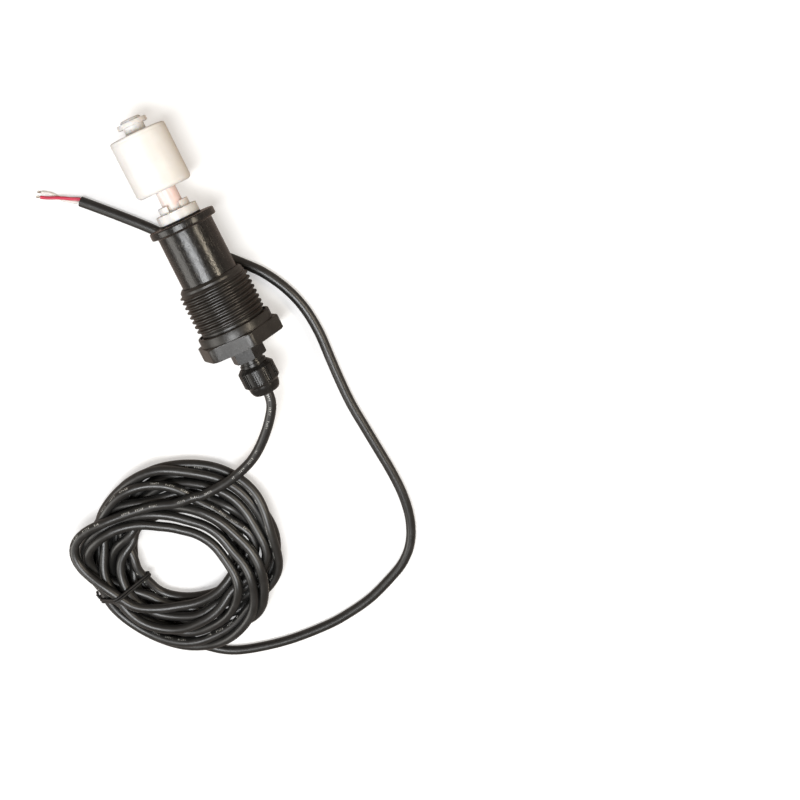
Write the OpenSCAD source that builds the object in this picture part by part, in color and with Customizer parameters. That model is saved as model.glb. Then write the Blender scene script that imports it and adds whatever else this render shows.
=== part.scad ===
// Vertical float level switch with a flanged housing tube, threaded bushing and cable gland.
// The switch lies on one flat of its hexagon: stem along +Y, cable end along -Y,
// table at z = 0, switch axis at x = 0 and its mid-length at y = 0.
// Each rigid piece is drawn along +Z and laid down by on_axis(); heights on that axis
// count from the outer face of the tube flange, positive toward the float.

/* [Float] */
// Outer diameter of the float
float_d = 22.7; // [20:0.1:27]
// Length of the float
float_l = 23.5; // [18:0.1:32]
// Wall of the float shell
float_wall = 1.2; // [0.8:0.1:1.8]
// Wall of the sleeve that runs on the stem
sleeve_wall = 1; // [0.8:0.1:1.4]
// Radial running clearance between sleeve and stem
float_gap = 0.45; // [0.3:0.05:0.8]
// Thickness of the float lid
lid_t = 1.6; // [1.2:0.1:2.4]
// Depth of the lid spigot inside the shell
lid_spigot = 1.8; // [1:0.1:3]
// Rounding of the lid rim
rim_r = 1; // [0.4:0.1:1.4]
// Rounding of the lower float rim
foot_r = 1.7; // [0.8:0.1:2.4]
// Length of the ring magnet
magnet_l = 8; // [5:0.5:12]
// Radial thickness of the ring magnet
magnet_wall = 3; // [2:0.1:3.6]
// Travel of the float up to the clip
travel_up = 2.6; // [1:0.1:4]
// Travel of the float down to the base tabs
travel_down = 5.7; // [4:0.1:8]
// Clearance that is left at each stop
stop_gap = 0.2; // [0.1:0.05:0.4]

/* [Sensor body] */
// Diameter of the stem
stem_d = 8.3; // [7.6:0.1:9]
// Diameter of the blind bore for the reed capsule
stem_bore_d = 5; // [4.4:0.1:5.4]
// Solid material above the blind bore
stem_cap_t = 3.4; // [3:0.1:4.5]
// Length of the stem tip above the clip
tip_l = 1.1; // [0.8:0.1:2]
// Diameter of the base disc
base_d = 17.4; // [16:0.1:19]
// Thickness of the base disc
base_t = 3.65; // [3:0.05:5]
// Distance across the wrench flats of the base disc
base_af = 16; // [15:0.1:16]
// Direction of the wrench flats, from the X axis
base_turn = 27; // [0:1:90]
// Outer diameter of the stop tabs
tab_d = 12.5; // [11:0.1:14]
// Height of the stop tabs
tab_h = 2.75; // [2:0.05:4]
// Width of the gap between the stop tabs
tab_slot = 5; // [2:0.1:6]
// Thread diameter of the fixing shank
shank_d = 10; // [9.5:0.1:10]
// Length of the fixing shank under the base disc
shank_l = 12; // [11:0.1:14]
// Thickness of the retaining clip
clip_t = 1.8; // [1:0.1:2.2]
// Outer diameter of the retaining clip
clip_d = 11.4; // [10.8:0.1:14]
// Depth of the clip groove in the stem
groove_depth = 0.6; // [0.4:0.05:0.8]
// Reach of the two ears past the clip ring
ear_l = 0.3; // [0.2:0.1:1]
// Width of an ear, round at its end
ear_w = 3.2; // [2.4:0.1:4]

/* [Sensor inner pieces] */
// Diameter of the glass capsule
reed_d = 2.3; // [1.8:0.1:2.6]
// Length of the glass capsule
reed_l = 14; // [12:0.5:16]
// Wall of the glass capsule
reed_wall = 0.35; // [0.25:0.05:0.5]
// Diameter of an insulated sensor wire
wire_d = 1.3; // [1:0.1:1.5]
// Distance across flats of the fixing nut
nut_af = 16; // [15.5:0.1:16]
// Thickness of the fixing nut
nut_t = 4; // [3:0.1:5]
// Thickness of the rubber washer under the base disc
gasket_t = 0.8; // [0.5:0.1:1.2]

/* [Tube] */
// Diameter of the tube flange
flange_d = 27.2; // [26.6:0.1:29]
// Thickness of the tube flange
flange_t = 3; // [2:0.1:3.5]
// Outer diameter of the tube at the flange
barrel_d = 22.9; // [22.6:0.1:23.1]
// Growth of the tube diameter from flange to bushing
barrel_draft = 0.3; // [0:0.05:0.4]
// Free length of the tube between flange and bushing
barrel_l = 21.8; // [18:0.1:26]
// Wall of the tube
barrel_wall = 2; // [1.8:0.1:2.2]
// Thickness of the closed tube end under the flange
tube_end_t = 4; // [3.5:0.1:4.5]

/* [Bushing] */
// Crest diameter of the external thread
thread_d = 28.9; // [28.4:0.1:30]
// Pitch of the external thread
thread_pitch = 2.1; // [1.8:0.05:2.3]
// Depth of the external thread
thread_depth = 1.1; // [0.8:0.05:1.2]
// Length from bushing face to collar
thread_l = 20.5; // [20:0.1:23]
// Diameter of the plain collar
collar_d = 31.1; // [30.4:0.1:31.8]
// Length of the plain collar
collar_l = 3.8; // [2.5:0.1:5]
// Distance across the flats of the big hexagon
hex_af = 32; // [32:0.1:34]
// Length of the big hexagon
hex_l = 5.8; // [5.2:0.1:8]
// Corner chamfer of the hexagons
hex_chamfer = 0.5; // [0.2:0.1:0.8]
// Thickness of the bushing end wall that takes the gland
end_wall_t = 4.4; // [4:0.1:5]
// Radial clearance between bushing bore and tube
bore_gap = 0.06; // [0.04:0.01:0.1]

/* [Gland] */
// Distance across the flats of the gland hexagon
gland_af = 12.9; // [12.6:0.1:14]
// Length of the gland hexagon
gland_hex_l = 6.2; // [5:0.1:8]
// Diameter of the thread that screws into the bushing
gland_thread_d = 11.8; // [11.4:0.1:12]
// Diameter of the neck between gland hexagon and nut
neck_d = 10; // [9.6:0.1:10.2]
// Diameter of the thread under the nut
neck_thread_d = 11.2; // [10.8:0.1:11.4]
// Visible length of the neck
neck_l = 3; // [2.4:0.1:4]
// Bore of the gland body
gland_bore_d = 6.2; // [5.4:0.1:6.4]
// Thickness of the washer between gland and bushing
washer_t = 0.8; // [0.6:0.1:1]
// Outer diameter of the gland washer
washer_d = 15; // [14.4:0.1:16]
// Length of the clamping claws
claw_l = 4; // [3:0.1:4.4]
// Number of clamping claws
claw_count = 8; // [6:1:10]

/* [Gland nut] */
// Diameter of the nut over its ribs
cap_d = 15.4; // [14.8:0.1:16]
// Length of the gland nut
cap_l = 12.6; // [11.6:0.1:14]
// Length of the domed end of the nut
dome_l = 4.6; // [3.6:0.1:5.2]
// Diameter of the flat end of the dome
dome_end_d = 9; // [8:0.1:10]
// Depth of the grooves that leave the ribs standing
groove_h = 0.5; // [0.3:0.05:0.6]
// Width of one groove
groove_w = 0.4; // [0.3:0.05:0.6]
// Width of each of the two ribs of a pair
rib_w = 0.6; // [0.4:0.05:0.8]
// Number of rib pairs, with a wide land between them
rib_pairs = 10; // [8:1:12]

/* [Cable] */
// Diameter of the cable jacket
cable_d = 4.2; // [3.9:0.1:4.3]
// Diameter of an insulated core
core_d = 1.4; // [1.2:0.1:1.6]
// Diameter of the bare core ends
bare_d = 0.8; // [0.6:0.1:1]
// Length of cable jacket that reaches into the housing tube
cable_inside_l = 5; // [3:0.5:8]
// Outer radius of the cable coil
coil_outer_r = 45.5; // [44:0.5:48]
// Inner radius of the cable coil
coil_inner_r = 19; // [16:0.5:22]
// Height of the cable coil
coil_h = 14; // [10:0.5:18]
// Thickness of the wire tie round the coil
tie_t = 1.1; // [0.8:0.1:1.4]
// Width of the wire tie
tie_w = 2.2; // [1.6:0.1:3]
// Direction of the wire tie from the coil centre
tie_turn = 187; // [0:1:360]

/* [Hidden] */

// a hair of overlap where one cut runs out of another solid
over = 0.1;
// radial clearance of pieces that are pushed or screwed together
fit = 0.05;
// facets of true round pieces
fn_round = 96;

// heights along the switch axis, from the flange face up to the stem tip
base_lo = gasket_t;
base_hi = base_lo + base_t;
tabs_hi = base_hi + tab_h;
float_lo = tabs_hi + stop_gap + travel_down;
float_hi = float_lo + float_l;
clip_lo = float_hi + travel_up + stop_gap;
clip_hi = clip_lo + clip_t;
tip_hi = clip_hi + tip_l;
shank_lo = base_lo - shank_l;

// heights from the flange face down to the cable exit
flange_lo = -flange_t;
bush_hi = flange_lo - barrel_l;
collar_hi = bush_hi - thread_l;
hex_hi = collar_hi - collar_l;
hex_lo = hex_hi - hex_l;
bore_lo = hex_lo + end_wall_t;
gland_lo = hex_lo - gland_hex_l;
cap_hi = gland_lo - neck_l;
cap_lo = cap_hi - cap_l;

// the row origin: mid-length over the table, axis at half the big hexagon
y_shift = -(tip_hi + cap_lo) / 2;
axis_z = hex_af / 2;

// diameters that follow from others
sleeve_in_d = stem_d + 2 * float_gap;
sleeve_d = sleeve_in_d + 2 * sleeve_wall;
shell_in_d = float_d - 2 * float_wall;
groove_d = stem_d - 2 * groove_depth;
tube_d = barrel_d + barrel_draft;
tube_in_d = barrel_d - 2 * barrel_wall;
bush_bore_d = tube_d + 2 * bore_gap;
cap_core_d = cap_d - 2 * groove_h;

// sensor body: the slot and the clip mouth face the same way round the axis
slot_turn = 17;
tip_chamfer = 0.5;
clip_grip = 1.4;
clip_mouth = groove_d - clip_grip;

// reed capsule: stands in a pocket of the resin, its upper lead folded back beside it
reed_seat = 2;
reed_end = 1.5;
lead_d = 0.5;
lead_bend = 1;
blade_t = 0.2;
blade_overlap = 1;
blade_w = 0.7 * (reed_d - 2 * reed_wall);
wire_depth = 3;
potting_hi = tabs_hi;
potting_lo = shank_lo + wire_depth;
reed_lo = potting_hi - reed_seat;
reed_hi = reed_lo + reed_l;
return_x = reed_d / 2 + lead_d;

// wiring: the two conductors run side by side from the resin through the splices to the jacket
pair_x = 1.35;
splice_gap = 8;
splice_l = 12;
splice_d = 2.5;
splice_cover = 3;
splice_hi = shank_lo - splice_gap;
splice_lo = splice_hi - splice_l;
jacket_hi = bore_lo + cable_inside_l;

// tube: edge rounding, fillet under the flange, hole clearance and the seal groove
flange_edge = 0.6;
flange_fillet = 0.5;
shank_gap = 0.2;
seal_w = 2;
seal_depth = 0.9;
seal_drop = 7;
seal_lo = bush_hi - seal_drop;

// bushing: the thread as closed rings, after a conical run-in, and a recess behind it
run_in = 1.95;
crest_w = 0.2 * thread_pitch;
flank_w = 0.3 * thread_pitch;
ring_w = crest_w + 2 * flank_w;
thread_rings = floor((thread_l - run_in - ring_w) / thread_pitch) + 1;
collar_edge = 0.4;
seat_recess = 0.6;
face_rim = 0.8;

// gland: neck ring, threaded length under the nut, claws and the running gap inside the nut
neck_ring_l = 1.3;
cap_thread_l = 4.4;
claw_lo = cap_hi - cap_thread_l - claw_l;
claw_wall = 0.75;
claw_slot = 0.7;
claw_step = 0.8;
claw_d = neck_thread_d - 2 * claw_step;
seal_d = claw_d - 2 * claw_wall - 2 * fit;
cap_gap = 0.2;
cap_exit_gap = 0.6;
rim_chamfer = 1.4;
shoulder = 0.7;
rib_turn = 23.4;
dome_steps = 6;

// washers
gasket_inset = 0.2;

// cords: sides of the swept tubes
cable_sides = 10;
core_sides = 8;
bare_l = 1.8;
core_lead = 1;

// lays a piece drawn along +Z onto the switch axis
module on_axis() {
    translate([0, y_shift, axis_z]) rotate([-90, 0, 0]) children();
}

// a ring or disc between two heights
module ring(lo, hi, d, bore = 0) {
    translate([0, 0, lo]) difference() {
        cylinder(h = hi - lo, d = d, $fn = fn_round);
        if (bore > 0)
            translate([0, 0, -over]) cylinder(h = hi - lo + 2 * over, d = bore, $fn = fn_round);
    }
}

// a hexagonal prism with chamfered corners, flats toward local -Y and +Y
module hexagon(lo, hi, af, chamfer) {
    corner_d = af / cos(30);
    intersection() {
        translate([0, 0, lo]) cylinder(h = hi - lo, d = corner_d, $fn = 6);
        rotate_extrude($fn = fn_round) polygon([
            [0, lo], [corner_d / 2 - chamfer, lo], [corner_d / 2, lo + chamfer],
            [corner_d / 2, hi - chamfer], [corner_d / 2 - chamfer, hi], [0, hi]]);
    }
}

// points of a quarter round from one direction to the next, about a centre
function arc_points(cx, cy, r, from, to, steps = 6) =
    [for (i = [0 : steps]) let(a = from + (to - from) * i / steps) [cx + r * cos(a), cy + r * sin(a)]];

// Sensor body: base disc with wrench flats, stop tabs, hollow stem and fixing shank
module sensor_body() {
    color("ivory") on_axis() difference() {
        union() {
            rotate([0, 0, base_turn]) intersection() {
                ring(base_lo, base_hi, base_d);
                translate([-base_af / 2, -base_d / 2, base_lo]) cube([base_af, base_d, base_t]);
            }
            difference() {
                ring(base_hi - over, tabs_hi, tab_d);
                rotate([0, 0, slot_turn])
                    translate([-tab_slot / 2, -tab_d, base_hi]) cube([tab_slot, 2 * tab_d, tab_h + over]);
            }
            ring(base_lo + over, clip_lo, stem_d);
            ring(clip_lo - over, clip_hi + over, groove_d);
            translate([0, 0, clip_hi]) rotate_extrude($fn = fn_round) polygon([
                [0, 0], [stem_d / 2, 0], [stem_d / 2, tip_l - tip_chamfer],
                [stem_d / 2 - tip_chamfer, tip_l], [0, tip_l]]);
            ring(shank_lo, base_lo + over, shank_d);
        }
        ring(shank_lo - over, tip_hi - stem_cap_t, stem_bore_d);
    }
}

// Float shell: outer wall, rounded floor and the sleeve that runs on the stem
module float_shell() {
    top = float_hi - lid_t;
    color("white") on_axis() rotate_extrude($fn = fn_round) polygon(concat(
        [[sleeve_in_d / 2, float_lo]],
        arc_points(float_d / 2 - foot_r, float_lo + foot_r, foot_r, -90, 0),
        [[float_d / 2, top], [shell_in_d / 2, top], [shell_in_d / 2, float_lo + float_wall],
         [sleeve_d / 2, float_lo + float_wall], [sleeve_d / 2, top], [sleeve_in_d / 2, top]]));
}

// Float lid: rounded rim, with a spigot that fits between shell and sleeve
module float_lid() {
    lo = float_hi - lid_t;
    color("white") on_axis() rotate_extrude($fn = fn_round) polygon(concat(
        [[sleeve_in_d / 2, lo], [sleeve_d / 2 + fit, lo], [sleeve_d / 2 + fit, lo - lid_spigot],
         [shell_in_d / 2 - fit, lo - lid_spigot], [shell_in_d / 2 - fit, lo], [float_d / 2, lo]],
        arc_points(float_d / 2 - rim_r, float_hi - rim_r, rim_r, 0, 90),
        [[sleeve_in_d / 2, float_hi]]));
}

// Ring magnet: sits on the float floor round the sleeve
module float_magnet() {
    lo = float_lo + float_wall;
    color("dimgray") on_axis()
        ring(lo, lo + magnet_l, sleeve_d + 2 * fit + 2 * magnet_wall, sleeve_d + 2 * fit);
}

// Retaining clip: open ring in the stem groove, with an ear on each side
module retaining_clip() {
    color("ivory") on_axis() rotate([0, 0, slot_turn]) difference() {
        union() {
            ring(clip_lo, clip_hi, clip_d);
            for (side = [-1, 1]) translate([side * (clip_d / 2 + ear_l - ear_w / 2), 0, 0])
                ring(clip_lo, clip_hi, ear_w);
        }
        ring(clip_lo - over, clip_hi + over, groove_d + 2 * fit);
        translate([-clip_mouth / 2, 0, clip_lo - over])
            cube([clip_mouth, clip_d, clip_t + 2 * over]);
    }
}

// Glass capsule with closed ends
module reed_capsule() {
    color("lightgreen", 0.5) on_axis() difference() {
        ring(reed_lo, reed_hi, reed_d);
        ring(reed_lo + reed_end, reed_hi - reed_end, reed_d - 2 * reed_wall);
        ring(reed_lo - over, reed_hi + over, lead_d + 2 * fit);
    }
}

// Two flat contact blades that overlap at mid-length, each with its round lead
module reed_blades() {
    mid = (reed_lo + reed_hi) / 2;
    color("silver") on_axis() {
        for (side = [-1, 1]) {
            end = side < 0 ? reed_lo + reed_end : reed_hi - reed_end;
            inner = mid - side * blade_overlap / 2;
            translate([-blade_w / 2, side < 0 ? -blade_t - fit : fit, min(end - side * fit, inner)])
                cube([blade_w, blade_t, abs(end - side * fit - inner)]);
        }
        ring(potting_lo, reed_lo + reed_end + lead_d, lead_d);
        ring(reed_hi - reed_end - lead_d, reed_hi + lead_bend, lead_d);
        translate([0, -lead_d / 2, reed_hi + lead_bend - lead_d])
            cube([return_x + lead_d / 2, lead_d, lead_d]);
        translate([return_x, 0, potting_lo])
            cylinder(h = reed_hi + lead_bend - potting_lo, d = lead_d, $fn = 24);
    }
}

// Resin plug in the stem bore: holds the capsule and lets the leads through
module sensor_potting() {
    color("darkslategray") on_axis() difference() {
        ring(shank_lo, potting_hi, stem_bore_d - 2 * fit);
        ring(reed_lo, potting_hi + over, reed_d + 2 * fit);
        ring(potting_lo - fit, potting_hi, lead_d + 2 * fit);
        translate([return_x, 0, potting_lo - fit])
            cylinder(h = potting_hi - potting_lo + 2 * over, d = lead_d + 2 * fit, $fn = 24);
    }
}

// Rubber washer between base disc and tube flange
module sensor_gasket() {
    color("black") on_axis() ring(0, base_lo, base_d - 2 * gasket_inset, shank_d + 2 * fit);
}

// Hexagonal nut on the shank, tightened against the closed tube end
module fixing_nut() {
    hi = -tube_end_t;
    color("ivory") on_axis() difference() {
        hexagon(hi - nut_t, hi, nut_af, hex_chamfer);
        ring(hi - nut_t - over, hi + over, shank_d + 2 * fit);
    }
}

// Housing tube: rounded flange, drafted barrel, closed end drilled for the shank
module housing_tube() {
    r = flange_d / 2 - flange_edge;
    color([0.1, 0.1, 0.11]) on_axis() difference() {
        rotate_extrude($fn = fn_round) polygon(concat(
            [[0, bore_lo], [tube_d / 2, bore_lo], [tube_d / 2, bush_hi],
             [barrel_d / 2, flange_lo - flange_fillet], [barrel_d / 2 + flange_fillet, flange_lo]],
            arc_points(r, flange_lo + flange_edge, flange_edge, -90, 0),
            arc_points(r, -flange_edge, flange_edge, 0, 90),
            [[0, 0]]));
        ring(bore_lo - over, -tube_end_t, tube_in_d);
        ring(-tube_end_t - over, over, shank_d + 2 * shank_gap);
        ring(seal_lo, seal_lo + seal_w, tube_d + 2 * over, tube_d - 2 * seal_depth);
    }
}

// Sealing ring in the groove of the tube, inside the bushing
module tube_seal() {
    color("black") on_axis()
        ring(seal_lo + fit, seal_lo + seal_w - fit, bush_bore_d, tube_d - 2 * seal_depth + 2 * fit);
}

// Bushing: external thread, undercut, collar and big hexagon, bored for the tube and the gland
module threaded_bushing() {
    r = thread_d / 2;
    root = r - thread_depth;
    color([0.16, 0.16, 0.17]) on_axis() difference() {
        union() {
            rotate_extrude($fn = fn_round) polygon(concat(
                [[0, hex_hi - over], [collar_d / 2, hex_hi - over],
                 [collar_d / 2, collar_hi - collar_edge], [collar_d / 2 - collar_edge, collar_hi],
                 [r + fit, collar_hi], [r + fit, collar_hi - seat_recess],
                 [root, collar_hi - seat_recess]],
                [for (i = [thread_rings - 1 : -1 : 0], p = [[-1, 0], [-1, 1], [1, 1], [1, 0]])
                    let(mid = bush_hi - run_in - ring_w / 2 - i * thread_pitch)
                    [root + p[1] * thread_depth, mid + p[0] * (crest_w / 2 + (1 - p[1]) * flank_w)]],
                [[bush_bore_d / 2 + face_rim, bush_hi], [0, bush_hi]]));
            hexagon(hex_lo, hex_hi, hex_af, hex_chamfer);
        }
        ring(bore_lo, bush_hi + over, bush_bore_d);
        ring(hex_lo - over, bore_lo + over, gland_thread_d + 2 * fit);
        ring(hex_lo - over, hex_lo + washer_t, washer_d + 2 * fit);
    }
}

// a straight insulated wire from one height to another
module wire(x, lo, hi, d) {
    translate([x, 0, lo]) cylinder(h = hi - lo, d = d, $fn = 24);
}

// Sensor wires from the resin plug to the splices
module sensor_lead_red() {
    color("indianred") on_axis() wire(pair_x, splice_hi - splice_cover, shank_lo, wire_d);
}
module sensor_lead_white() {
    color("white") on_axis() wire(-pair_x, splice_hi - splice_cover, shank_lo, wire_d);
}

// Shrink sleeves over the two joints, each with a blind hole for either wire
module splice_sleeves() {
    color("black") on_axis() for (side = [-1, 1]) difference() {
        wire(side * pair_x, splice_lo, splice_hi, splice_d);
        wire(side * pair_x, splice_hi - splice_cover, splice_hi + over, wire_d + 2 * fit);
        wire(side * pair_x, splice_lo - over, splice_lo + splice_cover, core_d + 2 * fit);
    }
}

// Cable cores from the jacket end to the splices
module inner_core_red() {
    color("crimson") on_axis() wire(pair_x, jacket_hi, splice_lo + splice_cover, core_d);
}
module inner_core_white() {
    color("white") on_axis() wire(-pair_x, jacket_hi, splice_lo + splice_cover, core_d);
}

// Cable jacket from inside the tube through the gland to the nut's end face
module cable_entry() {
    color([0.14, 0.14, 0.14]) on_axis() ring(cap_lo, jacket_hi, cable_d);
}

// Flat washer in the recess of the bushing's end face
module gland_washer() {
    color("black") on_axis()
        ring(hex_lo, hex_lo + washer_t, washer_d, gland_thread_d + 2 * fit);
}

// Gland body: screwed end, hexagon, neck with its thread, and slotted clamping claws
module gland_body() {
    color([0.2, 0.2, 0.21]) on_axis() difference() {
        union() {
            ring(hex_lo - over, bore_lo, gland_thread_d);
            hexagon(gland_lo, hex_lo, gland_af, hex_chamfer);
            ring(cap_hi + neck_ring_l, gland_lo + over, neck_d);
            ring(cap_hi - cap_thread_l, cap_hi + neck_ring_l, neck_thread_d);
            ring(claw_lo, cap_hi - cap_thread_l + over, claw_d);
        }
        ring(claw_lo - over, bore_lo + over, gland_bore_d);
        ring(claw_lo - over, cap_hi - cap_thread_l, seal_d + 2 * fit);
        for (i = [0 : claw_count - 1]) rotate([0, 0, (i + 0.5) * 360 / claw_count])
            translate([0, -claw_slot / 2, claw_lo - over]) cube([claw_d, claw_slot, claw_l]);
    }
}

// Rubber seal sleeve inside the claws, round the cable
module gland_seal() {
    color("black") on_axis() ring(claw_lo, cap_hi - cap_thread_l, seal_d, cable_d + 2 * fit);
}

// Gland nut: grip with rib pairs cut by grooves, chamfered rim and plain dome, hollow inside
module gland_nut() {
    r = cap_d / 2;
    rc = cap_core_d / 2;
    grip_lo = cap_lo + dome_l;
    color([0.13, 0.13, 0.14]) on_axis() difference() {
        rotate_extrude($fn = fn_round) polygon(concat(
            [[0, cap_lo], [dome_end_d / 2, cap_lo]],
            [for (i = [1 : dome_steps - 1]) let(a = 90 * i / dome_steps)
                [dome_end_d / 2 + (rc - shoulder - dome_end_d / 2) * sin(a),
                 cap_lo + (dome_l - shoulder) * (1 - cos(a))]],
            [[rc - shoulder, grip_lo - shoulder], [r, grip_lo + groove_h],
             [r, cap_hi - rim_chamfer], [r - rim_chamfer, cap_hi], [0, cap_hi]]));
        for (i = [0 : rib_pairs - 1], side = [-1 : 1])
            rotate([0, 0, rib_turn + i * 360 / rib_pairs + side * asin((rib_w + groove_w) / r)])
                translate([rc, -groove_w / 2, grip_lo - over])
                    cube([r - rc + over, groove_w, cap_hi - grip_lo + 2 * over]);
        ring(cap_hi - cap_thread_l - cap_gap, cap_hi + over, neck_thread_d + 2 * cap_gap);
        ring(claw_lo - cap_gap, cap_hi, claw_d + 2 * cap_gap);
        ring(cap_lo - over, cap_hi, cable_d + 2 * cap_exit_gap);
    }
}

// a round tube swept along a list of points, closed at both ends
function unit(v) = v / norm(v);
function heading(pts, i) =
    unit(pts[min(i + 1, len(pts) - 1)] - pts[max(i - 1, 0)]);
function across(t) = unit(cross(t, [0, 0, 1]));
function ring_points(p, t, r, sides) =
    let(s = across(t), u = cross(s, t))
    [for (k = [0 : sides - 1]) let(a = -90 + 360 * k / sides) p + r * (cos(a) * s + sin(a) * u)];
module tube_along(pts, d, sides) {
    n = len(pts);
    rings = [for (i = [0 : n - 1]) each ring_points(pts[i], heading(pts, i), d / 2, sides)];
    walls = [for (i = [0 : n - 2], k = [0 : sides - 1]) let(m = (k + 1) % sides)
        [i * sides + k, i * sides + m, (i + 1) * sides + m, (i + 1) * sides + k]];
    first = [for (k = [sides - 1 : -1 : 0]) k];
    last = [for (k = [0 : sides - 1]) (n - 1) * sides + k];
    polyhedron(rings, concat([first], walls, [last]));
}

// the routes: hand-set points, with the cable resting on the table where it can
exit_y = y_shift + cap_lo;
lay = cable_d / 2;
lead_route = [[0, exit_y, axis_z], [0, exit_y - 3, axis_z], [-1.6, -65.5, 15.8], [-4.8, -70, 15.3],
              [-9, -75, 14.6], [-14.5, -80, 13.8], [-21, -84.5, 13], [-28.5, -87.5, 12.2],
              [-37, -89, 11.4], [-43.5, -89.4, 12]];
tail_route = [[-94, -155, lay], [-85, -163, lay], [-75, -168, lay], [-64, -171.5, lay],
              [-52, -173.5, lay], [-40, -174, lay], [-28, -173.5, lay], [-16, -171.5, lay],
              [-5, -168, lay], [6, -163.5, lay], [15, -157.5, lay], [22, -150, lay],
              [27, -141, lay], [30, -130, lay], [32.5, -118, lay], [34, -106, lay],
              [34.3, -94, lay], [34, -82, lay], [33, -70, lay], [32, -58, lay],
              [30, -47, lay], [27, -37, lay], [23, -27, lay], [18, -18, lay],
              [11.5, -10, lay], [4, -2.5, lay], [-4, 4.5, lay], [-11, 11, lay],
              [-18, 18.5, lay], [-24.5, 25.5, lay], [-31.5, 32.5, lay], [-38.5, 39.8, lay]];
coil_centre = [-74, -116, 0];

// the cores leave the jacket side by side, straight on, and then lie down on the table
jacket_end = tail_route[len(tail_route) - 1];
jacket_way = heading(tail_route, len(tail_route) - 1);
function core_start(side) = jacket_end + side * (core_d / 2 + fit) * across(jacket_way);
core_lay = core_d / 2;
core_red_route = concat([core_start(1), core_start(1) + core_lead * jacket_way],
    [[-41.6, 42.4, 2.4], [-44, 43.8, 2.5], [-47, 45.2, 2.4], [-50.2, 46.4, 1.3],
     [-52, 47.2, core_lay], [-53.4, 48, core_lay]]);
core_white_route = concat([core_start(-1), core_start(-1) + core_lead * jacket_way],
    [[-42.6, 41.6, 1.4], [-45.2, 43.2, core_lay], [-46.9, 45.4, core_lay],
     [-49.2, 47.8, core_lay], [-52, 49.5, core_lay]]);

// Free cable between the gland nut and the coil
module cable_lead() {
    color([0.14, 0.14, 0.14]) tube_along(lead_route, cable_d, cable_sides);
}

// along the radius of the coil where the tie goes round it
module at_tie() {
    translate(coil_centre) rotate([0, 0, tie_turn]) children();
}

// The coiled cable as one closed ring of its outer shape, with a groove for the tie underneath
module cable_coil() {
    low = cable_d / 2;
    high = cable_d;
    color([0.14, 0.14, 0.14]) difference() {
        translate(coil_centre) rotate_extrude($fn = fn_round) polygon([
            [coil_inner_r + low, 0], [coil_outer_r - low, 0], [coil_outer_r, low],
            [coil_outer_r, coil_h - high], [coil_outer_r - high, coil_h],
            [coil_inner_r + high, coil_h], [coil_inner_r, coil_h - high],
            [coil_inner_r, low]]);
        at_tie() translate([coil_inner_r - tie_t, -tie_w / 2 - fit, -over])
            cube([coil_outer_r - coil_inner_r + 2 * tie_t, tie_w + 2 * fit, tie_t + fit + over]);
    }
}

// Wire tie: a closed loop round the bundle of turns
module coil_tie() {
    inside_w = coil_outer_r - coil_inner_r + 2 * fit;
    color("black") at_tie() translate([coil_inner_r - fit - tie_t, -tie_w / 2, 0]) difference() {
        cube([inside_w + 2 * tie_t, tie_w, coil_h + fit + tie_t]);
        translate([tie_t, -over, tie_t])
            cube([inside_w, tie_w + 2 * over, coil_h + fit - tie_t]);
    }
}

// Free cable from the coil, round the switch and under the tube, to its stripped end
module cable_tail() {
    color([0.14, 0.14, 0.14]) tube_along(tail_route, cable_d, cable_sides);
}

// Stripped cores with their bare ends
module core_red() {
    color("crimson") tube_along(core_red_route, core_d, core_sides);
}
module core_white() {
    color("white") tube_along(core_white_route, core_d, core_sides);
}
module bare_ends() {
    color("silver") for (route = [core_red_route, core_white_route]) {
        n = len(route) - 1;
        tube_along([route[n], route[n] + bare_l * heading(route, n)], bare_d, core_sides);
    }
}

sensor_body();
float_shell();
float_lid();
float_magnet();
retaining_clip();
reed_capsule();
reed_blades();
sensor_potting();
sensor_lead_red();
sensor_lead_white();
sensor_gasket();
fixing_nut();
housing_tube();
tube_seal();
threaded_bushing();
splice_sleeves();
inner_core_red();
inner_core_white();
cable_entry();
gland_washer();
gland_body();
gland_seal();
gland_nut();
cable_lead();
cable_coil();
coil_tie();
cable_tail();
core_red();
core_white();
bare_ends();
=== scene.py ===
"""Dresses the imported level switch: real thread, ribbed nut, wound cable and procedural finishes."""
import logging
import math
from collections.abc import Iterable, Sequence
from dataclasses import dataclass
from enum import Enum
from typing import Any

import bpy
import numpy as np
from mathutils import Matrix, Vector


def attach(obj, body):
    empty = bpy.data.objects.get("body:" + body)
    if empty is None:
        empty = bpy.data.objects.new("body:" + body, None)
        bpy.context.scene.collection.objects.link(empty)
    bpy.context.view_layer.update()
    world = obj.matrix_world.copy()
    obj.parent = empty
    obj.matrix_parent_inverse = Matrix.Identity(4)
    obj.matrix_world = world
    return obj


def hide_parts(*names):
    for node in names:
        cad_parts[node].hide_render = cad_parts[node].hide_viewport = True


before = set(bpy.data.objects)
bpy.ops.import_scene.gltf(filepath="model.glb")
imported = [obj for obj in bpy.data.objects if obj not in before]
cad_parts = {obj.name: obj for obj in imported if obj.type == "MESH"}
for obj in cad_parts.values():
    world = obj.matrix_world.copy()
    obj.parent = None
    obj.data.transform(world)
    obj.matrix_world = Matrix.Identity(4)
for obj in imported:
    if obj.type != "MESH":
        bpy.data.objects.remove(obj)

LOG = logging.getLogger("level_switch")
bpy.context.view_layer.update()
MM = 0.001

Point = tuple[float, float, float]
Colour = tuple[float, float, float]
Span = tuple[float, float]
Rows = np.ndarray
Faces = list[tuple[int, ...]]
Skin = tuple[Rows, Faces]
Tube = tuple[Rows, Faces, dict[str, Rows]]

BLACK: Colour = (0.0, 0.0, 0.0)
WHITE: Colour = (1.0, 1.0, 1.0)
BEVEL_SAMPLES = 6
CURVE_PARTS = 8
UP = np.array([0.0, 0.0, 1.0])


class Body(Enum):
    """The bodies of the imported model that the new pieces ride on."""

    ROOT = "root"
    GLAND_NUT = "gland_nut"


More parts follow.
